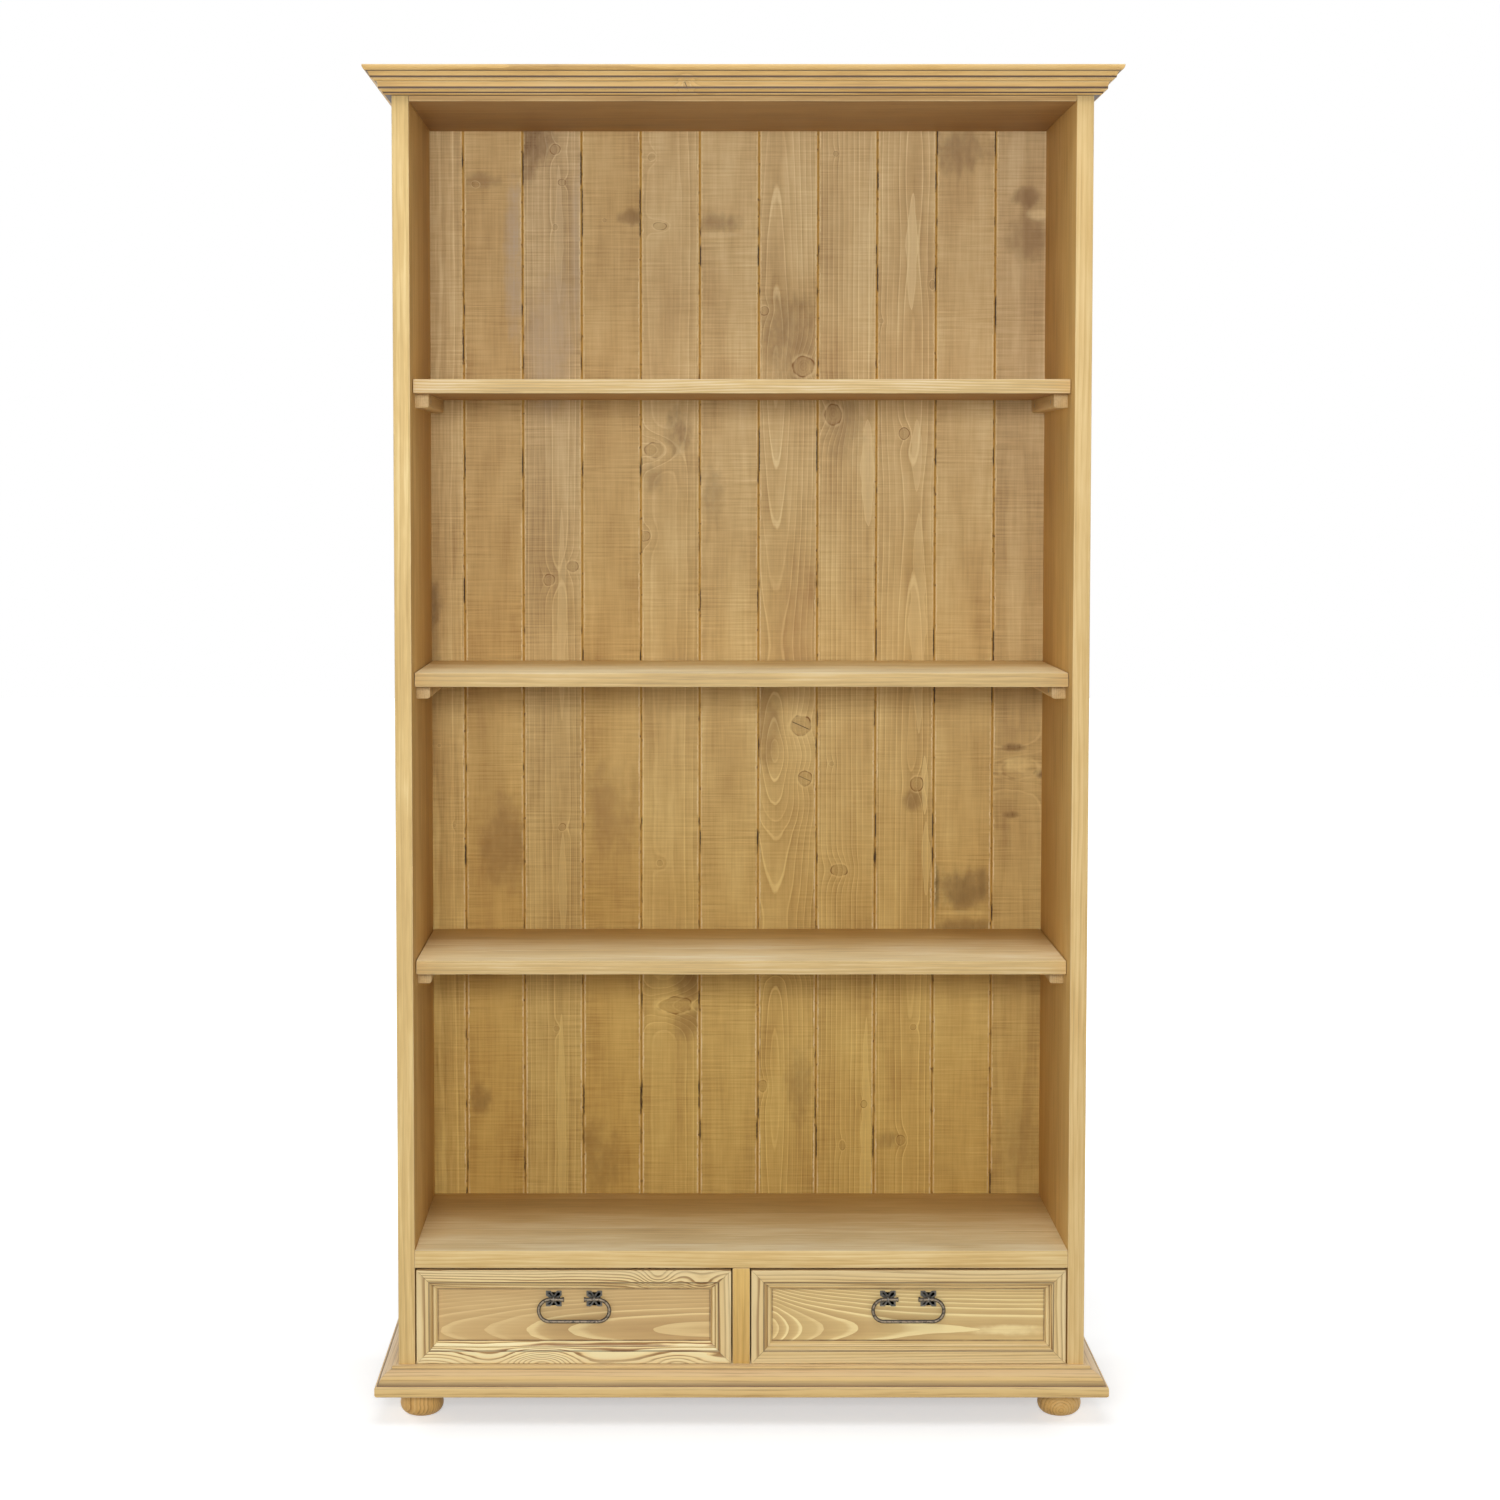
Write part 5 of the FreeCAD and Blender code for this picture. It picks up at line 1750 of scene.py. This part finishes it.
@dataclass
class Mouldings:
    """A moulding that wraps the front and sides of the case, mitred at the front corners."""

    family: str
    turns: tuple[Turn, ...]
    looks: Pine
    mitre_gap: float = 0.00015
    crease: float = 20.0

    def build(self) -> None:
        """Models the front length and both returns."""
        low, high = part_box(f"{self.family}_front")
        side_low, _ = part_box("left_side")
        _, side_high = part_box("right_side")
        reach = side_low.y - low.y
        self.outline = Outline(self.turns, reach, high.z - low.z)
        self.corners = (Vector((side_low.x, side_low.y, low.z)),
                        Vector((side_high.x, side_low.y, low.z)))
        start = Vector((low.x, side_low.y, low.z))
        self.length("front", start, -BACK, RIGHT * (high.x - low.x), Grain.SIDEWAYS, 0.0)
        _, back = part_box(f"{self.family}_left")
        run = BACK * (back.y - low.y)
        left = Vector((side_low.x, low.y, low.z))
        right = Vector((side_high.x, low.y, low.z))
        self.length("left", left, -RIGHT, run, Grain.INWARDS, 3.0)
        self.length("right", right, RIGHT, run, Grain.INWARDS, 7.0)

    def length(self, part: str, start: Vector, out: Vector, run: Vector, grain: Grain,
               seed: float) -> None:
        """Models one length of the moulding.

        Args:
            part: front, left or right.
            start: the section's inner lower corner, at the beginning of the run.
            out: the way that the moulding stands out from the case.
            run: its way and length.
            grain: the way of its grain.
            seed: what sets its figure apart.
        """
        node = f"{self.family}_{part}"
        piece = Bench.bar(f"{node}_pine", self.outline.drawn(start, out, UP), run)
        for corner, heading in zip(self.corners, (RIGHT, -RIGHT)):
            if part == "front":
                self.mitre(piece, corner, heading - BACK)
            elif out == -heading:
                self.mitre(piece, corner, BACK - heading)
        self.outline.mark(piece, start, out, UP)
        Bench.smooth(piece, self.crease)
        Bench.wax(piece, node, replace(self.looks, grain=grain, seed=self.looks.seed + seed))

    def mitre(self, piece: Piece, corner: Vector, kept: Vector) -> None:
        """Cuts a piece on the slanting plane through a corner, and keeps the side that is named."""
        normal = kept.normalized()
        Bench.trim(piece, corner + normal * self.mitre_gap, normal)


@dataclass
class Feet:
    """The four turned feet."""

    radius: float = 0.033
    neck: float = 0.029
    flat: float = 0.018
    rise: float = 0.021
    bend: tuple[float, float] = (0.74, 0.26)
    slope: float = 0.001
    shoulder_gap: float = 0.0005
    rounding: float = 0.002
    steps: int = 72

    def build(self) -> None:
        """Turns and dresses each foot."""
        looks = {
            "front_left_foot": (Grain.UPRIGHT, (0.05, 0.02), 71.0),
            "front_right_foot": (Grain.INWARDS, (0.0, 0.012), 73.0),
            "rear_left_foot": (Grain.UPRIGHT, (0.03, 0.03), 75.0),
            "rear_right_foot": (Grain.UPRIGHT, (-0.02, 0.04), 77.0),
        }
        moulding_low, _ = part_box("base_front")
        for node, (grain, pith, seed) in looks.items():
            low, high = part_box(node)
            axis = Vector(((low.x + high.x) / 2, (low.y + high.y) / 2, 0.0))
            piece = self.turned(node, axis, high.z, moulding_low.z - self.shoulder_gap)
            Bench.wax(piece, node, Pine(grain=grain, pith=pith, seed=seed, ring_gap=0.0042,
                                        ring_contrast=0.75, base=Tone(229, 184, 108),
                                        dark=Tone(160, 110, 54)), axis)

    def turned(self, node: str, axis: Vector, height: float, shoulder: float) -> Piece:
        """Spins a foot's outline about its upright axis.

        Args:
            node: the foot's CAD node.
            axis: where the axis meets the floor.
            height: how high its neck reaches.
            shoulder: how high the foot's widest part reaches.

        Returns:
            The foot.
        """
        waist = self.radius - self.slope
        across, up = self.bend
        bend = Vector((self.flat + (waist - self.flat) * across, self.rise * up))
        half = self.rounding * (1 - math.sqrt(0.5))
        top = Vector((self.radius - self.rounding, shoulder))
        flat = [Vector((0.0, 0.0)), Vector((self.flat, 0.0))]
        flat += round_stretch(flat[-1], bend, Vector((waist, self.rise)), 9)
        flat.append(Vector((self.radius, shoulder - self.rounding)))
        flat += round_stretch(flat[-1], Vector((self.radius - half, shoulder - half)), top, 4)
        flat += [Vector((self.neck, shoulder)), Vector((self.neck, height)),
                 Vector((0.0, height))]
        Bench.line(f"{node}_pine", [axis + RIGHT * spot.x + UP * spot.y for spot in flat])
        bpy.ops.mesh.spin(steps=self.steps, angle=math.tau, center=axis, axis=UP)
        bpy.ops.object.mode_set(mode="OBJECT")
        piece = Bench.settle(f"{node}_pine")
        Bench.merge(piece)
        Bench.smooth(piece)
        return piece


# Drawers and pulls

# Marks below 0 paint shade into the quirks and onto the outer faces by the gap; marks above 0 pale
# the ridges, with rubbing and painted highlight.
FRAME_TURNS = (
    Turn(0.0, 0.045, 0.3),
    Turn(0.02, 0.0, 0.9, (0.006, 0.013)),
    Turn(0.56, 0.0, 0.0),
    Turn(0.575, 0.01, 0.8),
    Turn(0.592, 0.036, -0.5),
    Turn(0.779, 0.221, 0.0, (0.715, 0.08)),
    Turn(0.795, 0.280, 0.0),
    Turn(0.797, 0.295, -0.85),
    Turn(0.8215, 0.307, 0.8),
    Turn(0.983, 0.540, 0.0, (0.928, 0.38)),
    Turn(1.0, 0.553, 0.6),
    Turn(1.0, 0.6136, -0.7),
    Turn(0.738, 0.6136),
    Turn(0.738, 1.0),
    Turn(0.0, 1.0),
)


@dataclass
class Drawer:
    """One drawer: a mitred frame round a sunk panel, and a plain box behind."""

    hand: str
    seed: float
    panel: Pine
    top: Pine
    bottom: Pine
    upright: Pine
    mitre_gap: float = 0.0002
    crease: float = 20.0

    def build(self) -> None:
        """Models the frame and dresses the panel and the box."""
        rail_low, rail_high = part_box(f"{self.hand}_drawer_top_rail")
        self.depth = rail_high.y - rail_low.y
        self.width = rail_high.z - rail_low.z
        foot_low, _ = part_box(f"{self.hand}_drawer_bottom_rail")
        self.low = Vector((rail_low.x, rail_low.y, foot_low.z))
        self.high = Vector((rail_high.x, rail_high.y, rail_high.z))
        self.outline = Outline(FRAME_TURNS, self.width, self.depth, 5)
        wide = RIGHT * (self.high.x - self.low.x)
        tall = UP * (self.high.z - self.low.z)
        corner = Vector((self.low.x, self.low.y, self.high.z))
        self.member("top_rail", corner, -UP, wide, self.top)
        self.member("bottom_rail", self.low, UP, wide, self.bottom)
        self.member("left_stile", self.low, RIGHT, tall, self.upright)
        right = Vector((self.high.x, self.low.y, self.low.z))
        self.member("right_stile", right, -RIGHT, tall, replace(self.upright, seed=self.seed + 9))
        panel = f"{self.hand}_drawer_panel"
        sunk = ((self.high.x - self.low.x) / 2 - self.width,
                (self.high.z - self.low.z) / 2 - self.width)
        looks = replace(self.panel, sunk=sunk)
        dress_node(panel, looks.material(f"{panel}_wax", middle(panel)))
        box_pine = Pine(grain=Grain.INWARDS, pale=Tone(232, 206, 156), base=Tone(218, 186, 130),
                        dark=Tone(178, 138, 84), seed=self.seed, roughness=0.6, ring_gap=0.006,
                        pith=(0.05, 0.02))
        for part in ("left_side", "right_side", "back", "bottom"):
            node = f"{self.hand}_drawer_{part}"
            grain = Grain.INWARDS if "side" in part else Grain.SIDEWAYS
            looks = replace(box_pine, grain=grain)
            dress_node(node, looks.material(f"{node}_plain", middle(node)))

    def member(self, part: str, start: Vector, inwards: Vector, run: Vector, looks: Pine) -> None:
        """Models a frame member, mitred at both ends.

        Args:
            part: the member's name.
            start: the outer corner that it starts from.
            inwards: the way to the panel.
            run: the way and length from corner to corner.
            looks: its wood.
        """
        node = f"{self.hand}_drawer_{part}"
        piece = Bench.bar(f"{node}_pine", self.outline.drawn(start, inwards, BACK), run)
        along = run.normalized()
        for end, heading in ((start, along), (start + run, -along)):
            normal = (heading - inwards).normalized()
            Bench.trim(piece, end + normal * self.mitre_gap, normal)
        self.outline.mark(piece, start, inwards, BACK)
        Bench.smooth(piece, self.crease)
        Bench.wax(piece, node, looks)


@dataclass
class Pull:
    """An iron pull: two notched rosettes, two eyes and a bent bail."""

    hand: str
    iron: bpy.types.Material
    worn: bpy.types.Material
    brown: bpy.types.Material
    eye_half: float = 0.03025
    petals: tuple[tuple[float, float], ...] = (
        (0.50, 0.09), (0.62, 0.13), (0.92, 0.34), (1.0, 0.42), (1.0, 0.96), (0.96, 1.0),
        (0.42, 1.0), (0.34, 0.92), (0.13, 0.62), (0.09, 0.50))
    plate: float = 0.0015
    plate_arris: float = 0.0003
    dish_inset: float = 0.0022
    dish_depth: float = 0.00035
    eye_radius: float = 0.0044
    eye_width: float = 0.0024
    bore: float = 0.00275
    shank: float = 0.0017
    clinch: float = 0.0040
    clinch_depth: float = 0.0012
    rod: float = 0.00265
    bend: float = 0.0167
    tail: float = 0.015
    flare_length: float = 0.004
    flare_radius: float = 0.0035
    hollow: float = 0.0014
    lip: float = 0.0008
    dent: float = 0.00005
    crease: float = 40.0
    sides: int = 20

    def build(self) -> None:
        """Forges the whole pull."""
        low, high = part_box(f"{self.hand}_pull_rosettes")
        eye_low, eye_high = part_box(f"{self.hand}_pull_eyes")
        bail_low, bail_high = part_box(f"{self.hand}_pull_bail")
        centre = (low + high) / 2
        axis = Vector((centre.x, eye_low.y + self.eye_radius, centre.z))
        self.half_size = (high.z - low.z) / 2
        self.wall = high.y
        self.panel_back = eye_high.y - self.clinch_depth
        self.rosettes(centre)
        self.eyes(axis)
        self.bail(axis, (bail_high.x - bail_low.x) / 2)

    def rosettes(self, centre: Vector) -> None:
        """Cuts the two plates.

        Args:
            centre: the point midway between them.
        """
        node = f"{self.hand}_pull_rosettes"
        quarter = [(across * self.half_size, up * self.half_size) for across, up in self.petals]
        flat = []
        for _ in range(4):
            flat += quarter
            quarter = [(-up, across) for across, up in quarter]
        outline = [Vector((centre.x - self.eye_half + across, self.wall, centre.z + up))
                   for across, up in flat]
        Bench.face(f"{node}_plate", outline)
        rise = self.plate - self.plate_arris
        bpy.ops.mesh.extrude_region_move(TRANSFORM_OT_translate={"value": -BACK * rise})
        bpy.ops.mesh.inset(thickness=self.plate_arris, depth=0.0)
        bpy.ops.transform.translate(value=-BACK * self.plate_arris)
        bpy.ops.mesh.inset(thickness=self.dish_inset, depth=0.0)
        bpy.ops.transform.translate(value=BACK * self.dish_depth)
        piece = self.paired(Bench.closed(f"{node}_plate"), node)
        Bench.smooth(piece)
        Bench.seat(piece, node, Slot.BLACK_IRON, self.iron)

    def paired(self, piece: Piece, node: str) -> Piece:
        """Marks a piece's pale ridges, rubbed and with painted highlight, and joins it with a copy
        at the right eye.

        Args:
            piece: the piece at the left eye.
            node: the CAD node of both.

        Returns:
            The pair.
        """
        Bench.mark_wear_and_shade(piece)
        twin = Bench.copy(piece, f"{node}_twin", RIGHT * self.eye_half * 2)
        return Bench.join([piece, twin], f"{node}_iron")

    def eyes(self, axis: Vector) -> None:
        """Bends the two eyes and clinches their shanks behind the panel.

        Args:
            axis: the middle of the line that the bail swings about.
        """
        node = f"{self.hand}_pull_eyes"
        middle_x = axis.x - self.eye_half
        crown = (self.eye_radius + self.bore) / 2
        Bench.clear()
        wire = (self.eye_radius - self.bore) / 2
        bpy.ops.mesh.primitive_circle_add(vertices=14, radius=wire,
                                          location=(middle_x, axis.y - crown, axis.z))
        bpy.context.object.scale.x = self.eye_width / 2 / wire
        ring = Bench.settle(f"{node}_ring")
        with Bench.editing(ring):
            bpy.ops.mesh.spin(steps=36, angle=math.tau, center=(middle_x, axis.y, axis.z),
                              axis=RIGHT)
        Bench.merge(ring)
        start = axis.y + crown
        end = self.panel_back
        shank = self.peg(f"{node}_shank", middle_x, start, end + self.clinch_depth / 2, axis.z,
                         self.shank)
        clinch = self.peg(f"{node}_clinch", middle_x, end, end + self.clinch_depth, axis.z,
                          self.clinch)
        Bench.soften(clinch, self.clinch_depth * 0.4)
        piece = self.paired(Bench.join([ring, shank, clinch], f"{node}_one"), node)
        Bench.smooth(piece, self.crease)
        Bench.seat(piece, node, Slot.BLACK_IRON, self.worn)

    def peg(self, name: str, x: float, start: float, end: float, z: float, radius: float) -> Piece:
        """Adds a round peg that runs backwards.

        Args:
            name: the peg's name.
            x: the place of its axis from the left.
            start: where its front end lies.
            end: where its rear end lies.
            z: the height of its axis.
            radius: its radius.

        Returns:
            The peg.
        """
        Bench.clear()
        bpy.ops.mesh.primitive_cylinder_add(vertices=self.sides, radius=radius, depth=end - start,
                                            location=(x, (start + end) / 2, z),
                                            rotation=(math.pi / 2, 0, 0))
        return Bench.settle(name)

    def bail(self, axis: Vector, half_width: float) -> None:
        """Bends the bail from one flared tail to the other.

        Args:
            axis: the middle of the line that it swings about.
            half_width: half its whole width.
        """
        node = f"{self.hand}_pull_bail"
        corner = half_width - self.rod - self.bend
        tip = self.tail + self.flare_length
        Bench.clear()
        bpy.ops.mesh.primitive_circle_add(vertices=self.sides, radius=self.rod, fill_type="NGON",
                                          location=axis + RIGHT * tip,
                                          rotation=(0, math.pi / 2, 0))
        rod = Bench.settle(f"{node}_iron")
        Bench.pick(rod)
        bpy.ops.object.mode_set(mode="EDIT")
        bpy.ops.mesh.select_all(action="SELECT")
        self.drawn(RIGHT * (corner - tip), 6)
        turn = axis + RIGHT * corner - UP * self.bend
        bpy.ops.mesh.spin(steps=20, angle=math.pi, center=turn, axis=-BACK)
        self.drawn(RIGHT * corner * -2, 14)
        turn = axis - RIGHT * corner - UP * self.bend
        bpy.ops.mesh.spin(steps=20, angle=math.pi, center=turn, axis=-BACK)
        self.drawn(RIGHT * (corner - tip), 6)
        self.tail_end(axis - RIGHT * tip, RIGHT)
        bpy.ops.mesh.select_all(action="DESELECT")
        bpy.ops.object.mode_set(mode="OBJECT")
        for face in rod.data.polygons:
            at_start = (face.center - axis - RIGHT * tip).length < self.rod / 4
            face.select = at_start and len(face.vertices) == self.sides
        bpy.ops.object.mode_set(mode="EDIT")
        bpy.ops.mesh.select_mode(type="FACE")
        self.tail_end(axis + RIGHT * tip, -RIGHT)
        bpy.ops.mesh.select_mode(type="VERT")
        bpy.ops.object.mode_set(mode="OBJECT")
        Bench.merge(rod)
        self.forge(rod)
        Bench.smooth(rod, self.crease)
        Bench.seat(rod, node, Slot.BROWN_IRON, self.brown)

    def drawn(self, run: Vector, steps: int) -> None:
        """Draws the selected end out in even steps."""
        for _ in range(steps):
            bpy.ops.mesh.extrude_region_move(TRANSFORM_OT_translate={"value": run / steps})

    def tail_end(self, end: Vector, heading: Vector) -> None:
        """Flares a tail and hollows its tip, from a selected end face.

        Args:
            end: the middle of the tail's end.
            heading: the way from the face to the end.
        """
        swell = self.flare_radius / self.rod
        self.drawn(heading * self.flare_length * 0.7, 1)
        bpy.ops.transform.resize(value=(1, swell, swell), center_override=end)
        self.drawn(heading * self.flare_length * 0.3, 1)
        bpy.ops.mesh.inset(thickness=self.lip, depth=0.0)
        self.drawn(heading * -self.hollow, 1)
        bpy.ops.transform.resize(value=(1, 0.7, 0.7), center_override=end)

    def forge(self, rod: Piece) -> None:
        """Makes the rod a little uneven, and marks its front for a painted highlight.

        Args:
            rod: the bent rod.
        """
        with Bench.editing(rod):
            bpy.ops.transform.vertex_random(offset=self.dent, uniform=0.0, normal=1.0, seed=5)
        # The points that face front get a painted highlight along the rod.
        facing = (vertex.normal.dot(-BACK) for vertex in rod.data.vertices)
        Bench.write_wear_and_shade(rod, [max(0.0, share - 0.7) * 3.3 for share in facing])


@dataclass
class Fixings:
    """The screws and the hidden dowels, which keep their shapes."""

    steel: bpy.types.Material

    def build(self) -> None:
        """Dresses them."""
        dress_node("wood_screws", self.steel)
        beech = Pine(grain=Grain.SIDEWAYS, pale=Tone(226, 196, 158), base=Tone(208, 172, 130),
                     dark=Tone(170, 130, 92), ring_gap=0.002, ring_contrast=0.3)
        dress_node("dowels", beech.material("dowel_beech", Vector()))


# Light, floor and camera

@dataclass
class Studio:
    """A pale floor, soft light and a camera that stands where the photographer stood."""

    camera_place: tuple[float, float, float] = (-0.0920, -4.4261, 1.3854)
    camera_tilt: float = math.radians(90 - 3.355)
    lens: float = 69.674
    sensor: float = 36.0
    shift: tuple[float, float] = (0.047, -0.0588)
    floor_size: float = 30.0
    fade_start: float = 0.7
    fade_end: float = 1.8
    floor_glow: float = 0.56
    # The floor glows less under the object and round it, a painted shadow.
    painted_shadow_glow: float = 0.5
    shade_half: tuple[float, float] = (0.55, 0.2)
    shade_reach: float = 0.09
    sky: float = 0.24
    lamp_target: tuple[float, float, float] = (0.0, 0.0, 1.0)

    def build(self) -> None:
        """Sets the whole studio up."""
        self.camera()
        self.world()
        self.floor()
        self.lamp("key", (-0.34, -4.6, 1.77), (1.2, 0.6), 86.0)
        self.lamp("overhead", (-0.1, -1.8, 4.2), (2.2, 2.2), 48.0)
        self.lamp("rear_left", (-4.0, 2.2, 2.3), (1.4, 1.4), 46.0)
        self.lamp("rear_right", (4.0, 2.2, 2.3), (1.4, 1.4), 46.0)

    def camera(self) -> None:
        """Adds the camera."""
        Bench.clear()
        bpy.ops.object.camera_add(location=self.camera_place, rotation=(self.camera_tilt, 0, 0))
        camera = bpy.context.object
        camera.data.lens = self.lens
        camera.data.sensor_width = self.sensor
        camera.data.shift_x, camera.data.shift_y = self.shift
        bpy.context.scene.camera = camera

    def world(self) -> None:
        """Lights softly from all round, with white behind everything."""
        world = bpy.data.worlds.new("studio")
        world.use_nodes = True
        bpy.context.scene.world = world
        graph = Graph(world.node_tree)
        ground = world.node_tree.nodes["Background"]
        graph.feed(ground.inputs["Color"], WHITE)
        strength = graph.scaled(graph.seen(), 1.0 - self.sky, self.sky)
        graph.feed(ground.inputs["Strength"], strength)

    def floor(self) -> None:
        """Adds a white floor that keeps the shadow and fades into the white behind."""
        Bench.clear()
        bpy.ops.mesh.primitive_plane_add(size=self.floor_size, location=(0, 0, 0))
        floor = Bench.settle("floor")
        made = bpy.data.materials.new("floor_white")
        made.use_nodes = True
        graph = Graph(made.node_tree)
        diffuse = made.node_tree.nodes["Principled BSDF"]
        diffuse.inputs["Base Color"].default_value = (0.78, 0.80, 0.82, 1.0)
        diffuse.inputs["Roughness"].default_value = 0.9
        diffuse.inputs["Specular IOR Level"].default_value = 0.1
        glow = graph.node("ShaderNodeEmission")
        graph.feed(glow.inputs["Color"], WHITE)
        place = graph.node("ShaderNodeTexCoord").outputs["Object"]
        graph.feed(glow.inputs["Strength"], graph.times(graph.seen(), self.glow(graph, place)))
        both = graph.fed(graph.node("ShaderNodeAddShader"), diffuse.outputs[0], glow.outputs[0])
        graph.feed(made.node_tree.nodes["Material Output"].inputs["Surface"], both.outputs[0])
        floor.data.materials.append(made)

    def glow(self, graph: Graph, place: Socket) -> Socket:
        """Makes the floor white: whole far off, and glowing less near the object, which paints a
        soft shadow under it and a little round it.

        Args:
            graph: the nodes of the floor's material.
            place: the place on the floor.

        Returns:
            How strongly the floor glows there.
        """
        away = graph.fade(graph.vector("LENGTH", place), self.fade_start, self.fade_end)
        wide, deep, _ = graph.split(graph.vector("ABSOLUTE", place))
        gap = graph.math("MAXIMUM", graph.minus(wide, self.shade_half[0]),
                         graph.minus(deep, self.shade_half[1]))
        clear = graph.scaled(graph.fade(gap, 0.0, self.shade_reach),
                             self.floor_glow - self.painted_shadow_glow, self.painted_shadow_glow)
        return graph.scaled(away, graph.minus(1.0, clear), clear)

    def lamp(self, name: str, place: tuple[float, float, float], size: tuple[float, float],
             power: float) -> None:
        """Adds a soft oblong lamp that looks at the middle of the object.

        Args:
            name: the lamp's name.
            place: where it hangs.
            size: its width and height.
            power: its power in watts.
        """
        Bench.clear()
        bpy.ops.object.light_add(type="AREA", location=place)
        lamp = bpy.context.object
        lamp.name = name
        lamp.data.shape = "RECTANGLE"
        lamp.data.size, lamp.data.size_y = size
        lamp.data.energy = power
        way = Vector(self.lamp_target) - lamp.location
        lamp.rotation_euler = way.to_track_quat("-Z", "Y").to_euler()


PANEL = Pine(grain=Grain.SIDEWAYS, rings=Rings.FLAMED, ring_gap=0.0199, crowding=1.83,
             ring_contrast=0.95, pale=Tone(241, 215, 155), base=Tone(212, 178, 121),
             dark=Tone(180, 142, 90), wander=0.002, wobble=0.0008, fibre=0.2, patches=0.2,
             relief=0.0002, roughness=0.5)
RAIL = Pine(grain=Grain.SIDEWAYS, rings=Rings.BRUSHED, ring_gap=0.0034, ring_contrast=1.0,
            pale=Tone(246, 222, 164), base=Tone(222, 191, 131), dark=Tone(154, 112, 58),
            pith=(-0.012, 0.006), wander=0.008, wobble=0.0018, fibre=0.18, patches=0.2,
            relief=0.0003, roughness=0.46)
LEFT_PANEL = replace(
    PANEL, pith=(-0.023, 0.0), seed=104.0, focus=0.045,
    dive=((-0.23, 0.052), (-0.19, 0.048), (-0.123, 0.043), (-0.066, 0.0375), (-0.001, 0.0313),
          (0.1365, 0.0241), (0.23, 0.022)))
RIGHT_PANEL = replace(
    PANEL, pith=(-0.0217, 0.0), seed=134.0, ring_contrast=1.1, pale=Tone(250, 228, 166),
    base=Tone(221, 191, 129), dark=Tone(190, 152, 97),
    clouds=(Cloud(0.15, -0.024, 0.05, 0.006, 0.8, Tone(251, 229, 168)),),
    dive=((-0.23, 0.015), (-0.203, 0.0199), (-0.185, 0.0291), (-0.165, 0.0363), (-0.134, 0.0425),
          (-0.082, 0.048), (-0.02, 0.0515), (0.10, 0.0535), (0.23, 0.0545)))
LEFT_TOP = replace(RAIL, seed=101.0, ring_contrast=1.35,
                   eddies=(Eddy(0.125, 0.004, 0.026, 0.02, 0.015),
                           Eddy(0.19, -0.01, 0.03, 0.02, 0.012)))
LEFT_BOTTOM = replace(RAIL, seed=106.0, pith=(0.0, 0.02), wobble=0.0024, ring_gap=0.003,
                      ring_contrast=1.35, pale=Tone(255, 244, 194), base=Tone(248, 220, 158),
                      eddies=(Eddy(-0.048, -0.014, 0.045, 0.016, 0.022),
                              Eddy(-0.21, -0.016, 0.06, 0.02, 0.012),
                              Eddy(0.155, -0.014, 0.035, 0.014, 0.008)))
RIGHT_TOP = replace(RAIL, seed=131.0, pith=(0.02, 0.012), wobble=0.001, ring_contrast=0.6)
RIGHT_BOTTOM = replace(RAIL, seed=136.0, pith=(0.03, 0.02), wobble=0.0014, ring_contrast=0.5)


def main() -> None:
    """Builds the bookcase and its studio."""
    logging.basicConfig(level=logging.INFO)
    bpy.context.scene.view_settings.view_transform = "Standard"
    Studio().build()
    Boards().build()
    BackBoards().build()
    Cleats().build()
    moulded = Pine(grain=Grain.SIDEWAYS, seed=81.0, ring_gap=0.006, pith=(0.03, 0.03))
    Mouldings("cornice", CORNICE_TURNS, replace(
        moulded, base=Tone(227, 185, 113),
        knots=(Knot(-0.0825, -0.0072, 0.0055, 0.0062, 0.3, 2.0, 0.8),),
    )).build()
    Mouldings("base", BASE_TURNS, replace(moulded, seed=91.0, base=Tone(230, 198, 148),
                                          edge=Tone(227, 192, 126))).build()
    Feet().build()
    iron = Metal(Tone(74, 75, 72), Tone(96, 86, 72), Tone(120, 116, 108), metallic=0.4,
                 roughness=0.5).material("iron_black")
    worn = Metal(Tone(112, 110, 104), Tone(128, 118, 104), Tone(176, 174, 166), metallic=0.5,
                 roughness=0.4).material("iron_worn")
    # The bail's bright tone is the painted highlight along its front.
    brown = Metal(Tone(38, 28, 20), Tone(54, 37, 25), Tone(186, 169, 140), metallic=0.12,
                  roughness=0.42, hammer=0.00006).material("iron_brown")
    steel = Metal(Tone(150, 152, 150), Tone(128, 130, 126), Tone(190, 190, 186),
                  roughness=0.35, hammer=0.00002).material("zinc_steel")
    stile = replace(RAIL, grain=Grain.UPRIGHT, ring_gap=0.005, wobble=0.0012, ring_contrast=1.15)
    Drawer("left", 101.0, LEFT_PANEL, LEFT_TOP, LEFT_BOTTOM, replace(stile, seed=108.0)).build()
    Drawer("right", 131.0, RIGHT_PANEL, RIGHT_TOP, RIGHT_BOTTOM,
           replace(stile, seed=138.0)).build()
    for hand in ("left", "right"):
        Pull(hand, iron, worn, brown).build()
    Fixings(steel).build()


if __name__ == "__main__":
    main()
